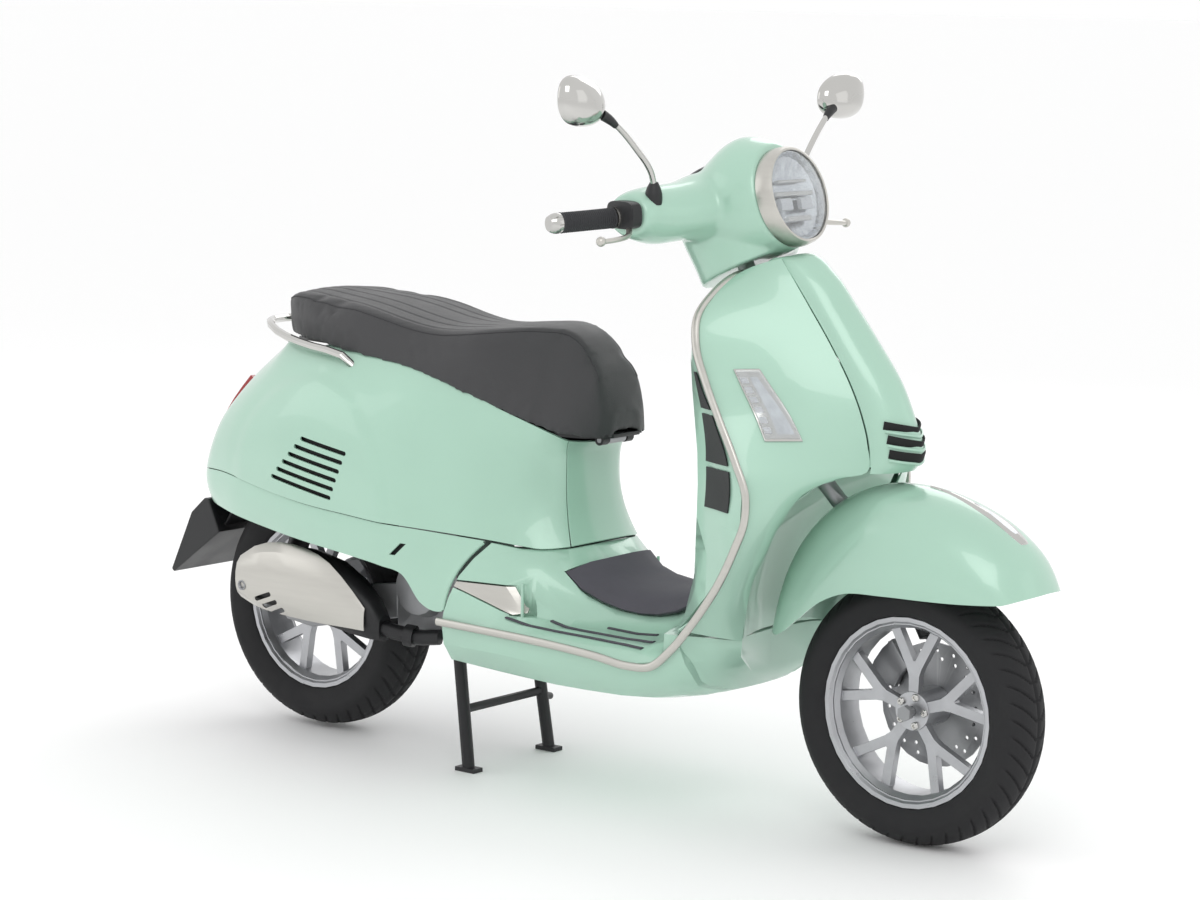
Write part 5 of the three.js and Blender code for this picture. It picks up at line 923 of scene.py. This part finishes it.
def headset():
    """Neck, cowl and arms run into one smooth shell."""
    shells = [oval_rings(NECK_LEVELS, neck_point), oval_rings(COWL_SECTIONS, cowl_point)]
    for side in (-1, 1):
        shells.append(oval_rings(HEADSET_ARM, lambda row, a: arm_point(row, a, side), count=40))
    vertices, faces = [], []
    for rings in shells:
        v, f = closed_mesh(rings)
        faces += [tuple(i + len(vertices) for i in face) for face in f]
        vertices += [tuple(p) for p in v]
    shell = new_object("headset_shell", vertices, faces, PAINT, "steering", ("headset",),
                       sharp=180)
    mesher = shell.modifiers.new("voxels", "REMESH")
    mesher.mode, mesher.voxel_size, mesher.use_smooth_shade = "VOXEL", SHELL_VOXEL * MM, True
    soft = shell.modifiers.new("soft", "SMOOTH")
    soft.factor, soft.iterations = 0.5, SHELL_SMOOTHING
    evaluated(shell)
    # The face of the shell behind the lamp ring stays flat.
    co = np.array([v.co[:] for v in shell.data.vertices])
    front = place(LAMP - LAMP_AXIS * LAMP_SEAT)
    ahead = (co - front) @ LAMP_AXIS
    co -= np.outer(np.clip(ahead, 0, None), LAMP_AXIS)
    shell.data.vertices.foreach_set("co", co.ravel())
    shell.data.update()
    shell.data.shade_smooth()
    lamp()


LAMP_UNITS = ((0, 4, 110, 9), (-30, -14, 34, 22), (30, -14, 34, 22), (0, 26, 84, 6),
              (0, -40, 70, 10))  # across, up, width and height of each bar behind the glass


def lamp():
    def turned(name, profile, mat, slot, **more):
        return lathe(name, profile, LAMP, LAMP_AXIS, mat, "steering", slot, **more)

    turned("lamp_bezel", [(74, -29.6), (88, -29.6), (89, -24), (88.6, -14), (87, -5), (84, 1.5),
                          (81.6, 2.6), (79.6, 1), (79.4, -8), (74.5, -19)], SATIN, "satin_metal",
           replaces=("headlight_ring",), sides=128)
    turned("lamp_glass", [(0.2, 9.8), (25, 9), (50, 6.6), (68, 3), (79, -1), (79, -3.4), (68, 0.4),
                          (50, 4), (25, 6.4), (0.2, 7.2)], GLASS, "clear_lens", replaces=("headlight",),
           sides=96)
    turned("lamp_bowl", [(78.6, -4), (73.4, -18), (58, -25), (30, -28), (0.2, -29), (0.2, -27),
                         (30, -26), (57, -23), (71, -16.5), (76, -4)], REFLECTOR, "chrome", sides=96,
           offset=lambda a, r, s: 0.8 * np.cos(a * 24) * (r > 55))
    side = np.array([0.0, 1.0, 0.0])
    for k, (across, up, wide, high) in enumerate(LAMP_UNITS):
        middle = LAMP - LAMP_AXIS * 14 + side * across + LAMP_UP * up
        path = [middle + side * s * (wide / 2) for s in (-1, -0.5, 0, 0.5, 1)]
        tube(f"lamp_unit_{k}", path, 1.0, LED if k in (1, 2) else CHROME, "steering",
             sides=12, steps=14, flat=(9, high, tuple(LAMP_UP)))


# ---------------------------------------------------------------- handlebar controls
BAR_RADIUS, GRIP_RADIUS, GRIP_RIBS, RIB_DEPTH = 11.0, 17.3, 52, 0.7
GRIP_START, GRIP_END, BAR_TIP = 262, 357, 378
STEM_RADIUS, BLADE_BALL_RADIUS = 5.4, 8.6
MIRROR_HEAD = (923.0, 390.0, 1269.0)
MIRROR_RINGS = [(-16, 55, 37), (-14, 58, 40), (-9, 60, 42), (0, 58.5, 41), (8, 53, 37), (15, 43, 30),
                (20, 31, 21), (23.4, 17, 12), (24.4, 6, 4)]  # depth, half-width, half-height
MIRROR_TOE_IN, MIRROR_TILT = math.radians(5), math.radians(8)
MIRROR_TAPER, MIRROR_SQUARENESS = 0.13, 0.84


def bar_point(y):
    line = np.array(BAR_LINE, float)
    along = np.arange(len(line), dtype=float)
    return (weights(along, [np.interp(y, line[:, 1], along)]) @ line)[0]


def sided(points, side):
    """The left side's points, or with side -1 their mirror image."""
    return [(p[0], side * p[1], p[2]) for p in points]


def along_bar(side, *ys):
    return sided([bar_point(y) for y in ys], side)


def mirror_head(side):
    """A rounded shell, taller at its outer end, from its glass forwards."""
    table = np.array(MIRROR_RINGS, float)
    rows = weights(np.arange(len(table), dtype=float), np.linspace(0, len(table) - 1, 33)) @ table
    rings = []
    for depth, wide, high in rows:
        ring = []
        for a in np.linspace(0, 2 * math.pi, 72, endpoint=False):
            c, s = squared(math.cos(a), MIRROR_SQUARENESS), squared(math.sin(a), MIRROR_SQUARENESS)
            across = wide * c
            x = MIRROR_HEAD[0] + depth + across * math.sin(MIRROR_TOE_IN)
            y = MIRROR_HEAD[1] + across - depth * math.sin(MIRROR_TOE_IN)
            above = high * s * (1 + MIRROR_TAPER * c) + 6 * c
            z = MIRROR_HEAD[2] + above - depth * math.sin(MIRROR_TILT)
            ring.append((x, side * y, z))
        rings.append(ring)
    return closed_mesh(np.array(rings))


def mirror(side, name):
    vertices, faces = mirror_head(side)
    new_object("mirror_head_" + name, vertices, faces, CHROME, "steering",
               ("mirror_" + name,), sharp=50)
    stem = [(941, 214, 1094), (942, 215, 1122), (945, 225, 1142), (941, 270, 1192), (934, 322, 1234),
            (928, 352, 1250)]
    collar = [(935, 316, 1229), (932, 332, 1240), (929, 348, 1248)]
    boot = [(941, 214, 1092), (941.5, 214.5, 1112), (942.5, 215.5, 1131)]
    tube("mirror_stem_" + name, sided(stem, side), STEM_RADIUS, CHROME, "steering", sides=20,
         steps=80)
    tube("mirror_collar_" + name, sided(collar, side), [5.8, 8.2, 9.4], BLACK, "steering",
         sides=24, steps=12)
    tube("mirror_boot_" + name, sided(boot, side), [15.0, 15.6, 15.0, 12.0, 7.0], BLACK, "steering",
         sides=32, steps=18)


def grip(side, name):
    ribs = [GRIP_RADIUS + (RIB_DEPTH if k % 2 else -RIB_DEPTH) for k in range(GRIP_RIBS)]
    tube("grip_rubber_" + name, along_bar(side, GRIP_START, 290, 325, GRIP_END),
         [18.6, 18.6, *ribs, 18.2, 17.0], GRIP, "steering", replaces=("grip_" + name,),
         sides=48, steps=220)
    tube("bar_end_" + name, along_bar(side, GRIP_END + 0.5, 364, 371, BAR_TIP),
         [17.4, 18.0, 18.0, 17.2, 15.6, 13.0], CHROME, "steering", sides=40, steps=30)


def lever(side, name):
    tube("lever_perch_" + name, along_bar(side, 216, 230, 246, 260),
         [18.0, 19.0, 19.0, 17.6, 19.0, 18.4], SATIN, "steering",
         replaces=("brake_lever_" + name,), sides=40, steps=36)
    blade = [(908, 244, 1056), (926, 262, 1049), (950, 300, 1041), (958, 340, 1038), (952, 366, 1036)]
    tube("lever_blade_" + name, sided(blade, side), [6.0, 5.6, 5.0, 4.6, 4.6], SATIN, "steering",
         sides=18, steps=70)
    ball = [(BLADE_BALL_RADIUS * math.sin(a) + 0.05, -BLADE_BALL_RADIUS * math.cos(a))
            for a in np.linspace(0, math.pi, 17)]
    lathe("lever_ball_" + name, ball, (950.5, side * 371, 1036), (0, 1, 0), SATIN, "steering",
          "satin_metal", sides=32)
    housing = sided([(911, 246, 1075), (909, 255, 1074.5), (907, 263, 1074)], side)
    tube("switch_housing_" + name, housing, 1.0, BLACK, "steering", sides=32, steps=10,
         flat=(74, 48, (0, 0, 1)))


def controls():
    for side, name in ((1, "left"), (-1, "right")):
        mirror(side, name)
        grip(side, name)
        lever(side, name)
    half = [bar_point(y) for y in (372, 345, 310, 270, 240, 210, 170, 120, 60)]
    whole = sided(half, -1) + [bar_point(0)] + half[::-1]
    tube("handlebar_tube", whole, BAR_RADIUS, CHROME, "steering", replaces=("handlebar",),
         sides=32, steps=120)


# ---------------------------------------------------------------- exhaust, fender, floor, rear
SHIELD_SLOTS, SHIELD_SLOT_WAY = ((-20, 276), (-6, 262), (8, 248)), (0.94, 0.34)
SHIELD_SLOT_LENGTH, SHIELD_SLOT_HEIGHT = 50, 9
SHIELD_BOLTS = ((-52, 300, 10), (150, 214, 12))  # X, Z and radius


def exhaust_cover():
    shield = refined("heat_shield", SATIN, bevel=1.0, sharp=45)
    carve(shield, [cutter_along_y(slanted_slot(start, SHIELD_SLOT_WAY, SHIELD_SLOT_LENGTH,
                                               SHIELD_SLOT_HEIGHT), -330,
                                  -120) for start in SHIELD_SLOTS])
    skin = surface_of(frame["nodes"]["heat_shield"])
    for k, (x, z, radius) in enumerate(SHIELD_BOLTS):
        hit = skin.ray_cast(place([(x, -500, z)])[0], Vector((0, 1, 0)))[0]
        if hit is None:
            continue
        head = [(0.2, 3), (radius, 3), (radius, -2), (radius - 2, -3.4), (radius - 4, -2),
                (radius - 5, 0.5), (0.2, 0.5)]
        lathe(f"shield_bolt_{k}", head, in_mm(hit), (0, 1, 0), STEEL, BODY_OF["heat_shield"], "steel",
              sides=36)


CREST_ROWS, CREST_THICKNESS = 26, 3.5


def fender_crest():
    """The bright drop on the fender's ridge, and the pale insert on it."""
    for name, mat, slot, wide, lift, low, high in (("base", CHROME, "chrome", 36.0, 1.2, 0.12, 0.41),
                                                   ("lens", LED, "clear_lens", 22.0, 2.6, 0.15, 0.28)):
        rows = []
        for k, v in enumerate(spaced((low, high), CREST_ROWS)):
            t = k / (CREST_ROWS - 1)
            half = wide / 2 * (math.sin(math.pi * min(1, 0.08 + t) ** 0.62) ** 0.8 + 0.02)
            middle, normal = FENDER.shell([0.5], [v])
            base, up = middle[0, 0] + normal[0, 0] * (lift - 1.5), normal[0, 0]
            rows.append([base + np.array([0, s * half, 0])
                         + up * (3.2 * (1 - abs(s) ** 1.5) - 1.8 * abs(s) * (half / wide))
                         for s in np.linspace(-1, 1, 9)])
        outer = np.array(rows)
        vertices, faces = slab_of(place(outer), place(outer - np.array([0, 0, CREST_THICKNESS])))
        new_object("fender_crest_" + name, vertices, faces, mat, "steering", bevel=0.6)


FLOOR_STRIPS = ((480, 936, 213), (650, 940, 184), (812, 922, 150))  # X from, X to, Y
STRIP_RISE, STRIP_STEP = 1.2, 3.5


def floor_strips():
    """Rubber strips laid on the floor, from the front back to where the floor stops being even."""
    skin = surface_of(frame["nodes"]["footboard"])
    for k, (start, end, y) in enumerate(FLOOR_STRIPS):
        for side, name in ((-1, "right"), (1, "left")):
            path = []
            for x in np.linspace(end, start, 26):
                hit = skin.ray_cast(Vector(place([(x, side * y, 700)])[0]), Vector((0, 0, -1)))[0]
                if hit is None or path and abs(hit.z / MM + STRIP_RISE - path[-1][2]) > STRIP_STEP:
                    break
                path.append(in_mm(hit + Vector((0, 0, STRIP_RISE * MM))))
            if len(path) > 8:
                tube(f"floor_strip_{k}_{name}", path, 1.0, MAT_RUBBER, "frame", sides=10,
                     steps=60, flat=(8.5, 3.4, (0, 0, 1)))


def rear_details():
    """The bright plate round the tail light, on the body's own surface."""
    low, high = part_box("tail_light")
    vs = [v for v in spaced((0, 1), 101)
          if low[2] / MM - 14 <= REAR.at(rear_u(0), v)[2] <= high[2] / MM + 12]
    middle, reach = (vs[0] + vs[-1]) / 2, (high[1] - low[1]) / MM / 2 + 9
    us = [u for u in spaced((rear_u(-1), rear_u(2)), 80) if abs(REAR.at(u, middle)[1]) <= reach]
    panel("tail_surround", REAR, spaced((us[0], us[-1]), 24), spaced((vs[0], vs[-1]), 24), SATIN,
          "frame", thick=3.0, lift=2.2, bevel=1.4)


# ---------------------------------------------------------------- wheels
RIM_RADIUS = 167.0
FRONT_AXLE = (1378.0, 0.0, 236.4)
REAR_AXLE = (0.0, 0.0, 249.4)
BEAD_THICKNESS = 5.6
TREAD_PITCHES, TREAD_DEPTH = 46, 4.0
BOLT_CIRCLE, BOLTS = 26.0, 5
DISC_HOLES, DISC_HOLE_RADIUS = 18, 3.6


def tyre(name, centre, radius, half_width, rim_half, node, body):
    bead = rim_half - BEAD_THICKNESS
    keys = np.array([(radius, 0), (radius - 1, 0.25 * half_width), (radius - 4.5, 0.47 * half_width),
                     (radius - 16, 0.78 * half_width), (radius - 34, 0.985 * half_width),
                     (radius - 50, 0.95 * half_width), (RIM_RADIUS + 0.6, rim_half)], float)
    along = np.concatenate([[0], np.cumsum(np.linalg.norm(np.diff(keys, axis=0), axis=1))])
    side = weights(along, np.linspace(0, along[-1], 26)) @ keys
    inner = np.array([(RIM_RADIUS + 0.6, bead), (154, bead)], float)
    half = np.concatenate([side, inner])
    loop = np.concatenate([half, half[::-1][:-1] * [1, -1]])

    def tread(angle, r, y):
        on_tread = smoothstep(radius - 26, radius - 15, r)
        wave = (angle * TREAD_PITCHES / (2 * math.pi) + np.abs(y) / 34.0) % 1.0
        slot = smoothstep(0.10, 0.04, np.abs(wave - 0.5)) * smoothstep(6, 9, np.abs(y))
        middle = smoothstep(2.6, 1.2, np.abs(y))
        shoulder = smoothstep(1.6, 0.8, np.abs(np.abs(y) - 24))
        rib = 0.7 * smoothstep(1.5, 0.6, np.abs(r - (radius - 44))) * (np.abs(y) > 0.8 * half_width)
        return -TREAD_DEPTH * np.clip(slot + middle + 0.6 * shoulder, 0, 1) * on_tread + rib

    return lathe(name, loop, centre, (0, 1, 0), TYRE, body, "tyre", sides=920, replaces=(node,),
                 sharp=60, offset=tread)


def bolts(prefix, centre, body, y, turn=0.3):
    for i in range(BOLTS):
        a = turn + 2 * math.pi * i / BOLTS
        middle = np.array(centre, float) + [BOLT_CIRCLE * math.sin(a), y, BOLT_CIRCLE * math.cos(a)]
        lathe(f"{prefix}_{i}", [(0.2, 0), (7, 0), (7, -4), (5.8, -5.4), (3.4, -5.6), (3, -3),
                                (0.2, -3)], middle, (0, 1, 0), CHROME, body, "chrome", sides=18)


def wheels():
    tyre("front_tyre_fine", FRONT_AXLE, 236.4, 59, 46, "front_tyre", "front_wheel")
    tyre("rear_tyre_fine", REAR_AXLE, 243.4, 64, 49, "rear_tyre", "rear_wheel")
    refined("front_rim", GRAPHITE, bevel=2.2)
    refined("rear_rim", GRAPHITE, bevel=2.2)
    bolts("front_bolt", FRONT_AXLE, "front_wheel", -25.2)
    bolts("rear_bolt", REAR_AXLE, "rear_wheel", -27.0)
    disc = refined("front_disc", STEEL, bevel=0.6)
    holes = []
    circle = np.linspace(0, 2 * math.pi, 11)[:-1]
    for i in range(DISC_HOLES):
        for r, shift in ((96, 0.0), (82, 0.12)):
            a = 2 * math.pi * i / DISC_HOLES + shift
            x, z = FRONT_AXLE[0] + r * math.sin(a), FRONT_AXLE[2] + r * math.cos(a)
            outline = [(x + DISC_HOLE_RADIUS * math.cos(t),
                        z + DISC_HOLE_RADIUS * math.sin(t)) for t in circle]
            holes.append(cutter_along_y(outline, 45, 60))
    carve(disc, holes)


# ---------------------------------------------------------------- lamps and trim on the shield
def patch(name, surface, low, high, bounds_low, bounds_high, mat, body, mirror, thick, lift,
          counts=(20, 12), replaces=(), bevel=0.8):
    """A plate whose sides across run from bounds_low at the bottom to bounds_high at the top."""
    vs = spaced((low, high), counts[0])
    outer, inner = [], []
    for v in vs:
        share = (v - low) / (high - low)
        from_u = bounds_low[0] * (1 - share) + bounds_high[0] * share
        to_u = bounds_low[1] * (1 - share) + bounds_high[1] * share
        points, normal = surface.shell(spaced((from_u, to_u), counts[1]), [v])
        outer.append(points[:, 0] + normal[:, 0] * lift)
        inner.append(points[:, 0] + normal[:, 0] * (lift - thick))
    outer, inner = np.array(outer), np.array(inner)
    if mirror:
        outer, inner = outer * [1, -1, 1], inner * [1, -1, 1]
    vertices, faces = slab_of(place(outer), place(inner))
    return new_object(name, vertices, faces, mat, body, replaces, bevel=bevel)


def indicators():
    for side, mirror in (("left", False), ("right", True)):
        patch("indicator_base_" + side, SHIELD, 0.547, 0.722, (0.275, 0.548), (0.215, 0.40), CHROME,
              "frame", mirror, 3.2, 3.4, replaces=("front_indicator_" + side,), bevel=1.0)
        patch("indicator_glass_" + side, SHIELD, 0.553, 0.717, (0.285, 0.536), (0.226, 0.392), GLASS,
              "frame", mirror, 2.0, 5.9, bevel=0.9)
        for k in range(6):
            low = 0.565 + 0.024 * k
            edge = 0.292 - 0.0095 * k
            patch(f"indicator_cell_{side}_{k}", SHIELD, low, low + 0.014, (edge, edge + 0.05),
                  (edge - 0.005, edge + 0.045), LED, "frame", mirror, 0.5, 3.9,
                  counts=(4, 4), bevel=0.0)
        patch("indicator_mirror_" + side, SHIELD, 0.563, 0.70, (0.38, 0.5), (0.31, 0.36), REFLECTOR,
              "frame", mirror, 0.5, 3.85, counts=(18, 8), bevel=0.0)


def grilles():
    for side, mirror in (("left", False), ("right", True)):
        spans = (((0.31, 0.425), (0.892, 0.963), (0.90, 0.975)),
                 ((0.44, 0.58), (0.90, 0.975), (0.925, 0.985)),
                 ((0.595, 0.70), (0.927, 0.985), (0.935, 0.962)))
        for k, ((low, high), start, end) in enumerate(spans):
            patch(f"grille_{side}_{k}", INNER, low, high, start, end, BLACK, "frame",
                  mirror, 3.0, 3.2, counts=(16, 6), replaces=("side_grille_" + side,) if k == 0 else ())


# ---------------------------------------------------------------- the rest
KEPT = {"footboard": ("paint", PAINT, 1.2), "inner_shield": ("paint", PAINT, 0.8),
        "glovebox_lid": ("paint", PAINT, 1.2), "tunnel_mat": ("mat_rubber", MAT_RUBBER, 1.5),
        "footrest_left": ("satin_metal", SATIN, 1.5), "footrest_right": ("satin_metal", SATIN, 1.5),
        "wheel_well": ("paint", PAINT, 0.0), "seat_hinge": ("steel", STEEL, 0.6),
        "storage_bucket": ("black_plastic", BLACK, 1.0), "grab_rail": ("chrome", CHROME, 0.0),
        "tail_light": ("red_lens", RED, 2.0), "rear_mudguard": ("black_plastic", BLACK, 1.5),
        "engine_block": ("alloy", ALLOY, 2.0), "transmission_case": ("alloy", ALLOY, 2.0),
        "rear_arm": ("alloy", ALLOY, 1.5), "shock_beam": ("steel", STEEL, 1.5),
        "rear_shock_left": ("black_plastic", BLACK, 1.0),
        "rear_shock_right": ("black_plastic", BLACK, 1.0), "silencer": ("steel", SILENCER, 2.0),
        "centre_stand": ("steel", SILENCER, 0.8), "fork": ("steel", STEEL, 0.0),
        "link_arm": ("alloy", ALLOY, 2.0), "front_shock": ("black_plastic", BLACK, 1.0),
        "brake_caliper": ("steel", STEEL, 2.0), "dash": ("black_plastic", BLACK, 1.0),}


def rest_of_it():
    for node, (slot, mat, bevel) in KEPT.items():
        refined(node, mat, bevel=bevel, sharp=40)


# ---------------------------------------------------------------- floor, light and camera
FLOOR_HALF = 300.0  # metres, past where its edge would show
FLOOR_GREY = (0.985, 0.985, 0.985, 1)
LIGHTS = {  # name: (place, aimed at, watts, width)
    "key": ((2.6, -3.4, 4.2), (0.1, 0, 0.6), 42, 2.6),
    "fill": ((-4.2, -3.0, 2.6), (-0.2, 0, 0.6), 16, 3.0),
    "back": ((-1.0, 4.4, 3.6), (0.2, 0, 0.6), 40, 3.0),
    "front": ((5.0, 1.5, 2.2), (0.4, 0, 0.6), 5, 2.6),
}
CAMERA_PLACE = (3.699, -4.726, 1.447)
CAMERA_YAW, CAMERA_PITCH, CAMERA_ROLL = (math.radians(a) for a in (127.78, -7.9, 1.06))
CAMERA_LENS, CAMERA_SENSOR, CAMERA_REACH = 98.28, 36.0, 1000


def studio():
    mesh = bpy.data.meshes.new("studio_floor")
    corners = [(-1, -1), (1, -1), (1, 1), (-1, 1)]
    mesh.from_pydata([(x * FLOOR_HALF, y * FLOOR_HALF, 0) for x, y in corners], [], [(0, 1, 2, 3)])
    ground = bpy.data.objects.new("studio_floor", mesh)
    bpy.context.scene.collection.objects.link(ground)
    pale = bpy.data.materials.new("pale_floor")
    pale.use_nodes = True
    pale.node_tree.nodes["Principled BSDF"].inputs["Base Color"].default_value = FLOOR_GREY
    pale.node_tree.nodes["Principled BSDF"].inputs["Roughness"].default_value = 0.6
    ground.data.materials.append(pale)
    world = bpy.data.worlds.new("studio")
    bpy.context.scene.world = world
    world.use_nodes = True
    world.node_tree.nodes["Background"].inputs["Color"].default_value = (1.0, 1.0, 1.0, 1)
    world.node_tree.nodes["Background"].inputs["Strength"].default_value = 1.0
    for name, (spot, target, power, width) in LIGHTS.items():
        area = bpy.data.lights.new(name, "AREA")
        area.energy, area.size = power, width
        light = bpy.data.objects.new(name, area)
        light.location = spot
        light.rotation_euler = (Vector(target) - Vector(spot)).to_track_quat("-Z", "Y").to_euler()
        bpy.context.scene.collection.objects.link(light)
    bpy.context.scene.view_settings.view_transform = "Standard"


def camera():
    forward = Vector((math.cos(CAMERA_PITCH) * math.cos(CAMERA_YAW),
                      math.cos(CAMERA_PITCH) * math.sin(CAMERA_YAW), math.sin(CAMERA_PITCH)))
    level = Vector((math.sin(CAMERA_YAW), -math.cos(CAMERA_YAW), 0))
    above = level.cross(forward)
    right = level * math.cos(CAMERA_ROLL) + above * math.sin(CAMERA_ROLL)
    up = above * math.cos(CAMERA_ROLL) - level * math.sin(CAMERA_ROLL)
    data = bpy.data.cameras.new("camera")
    data.sensor_width, data.lens, data.clip_end = CAMERA_SENSOR, CAMERA_LENS, CAMERA_REACH
    eye = bpy.data.objects.new("camera", data)
    turn = Matrix((right, up, -forward)).transposed().to_4x4()
    eye.matrix_world = Matrix.Translation(CAMERA_PLACE) @ turn
    bpy.context.scene.collection.objects.link(eye)
    bpy.context.scene.camera = eye


camera()
studio()
rear_panels()
shield_panels()
horn_slots()
indicators()
grilles()
headset()
wheels()
rest_of_it()
controls()
exhaust_cover()
fender_crest()
floor_strips()
rear_details()
seat()
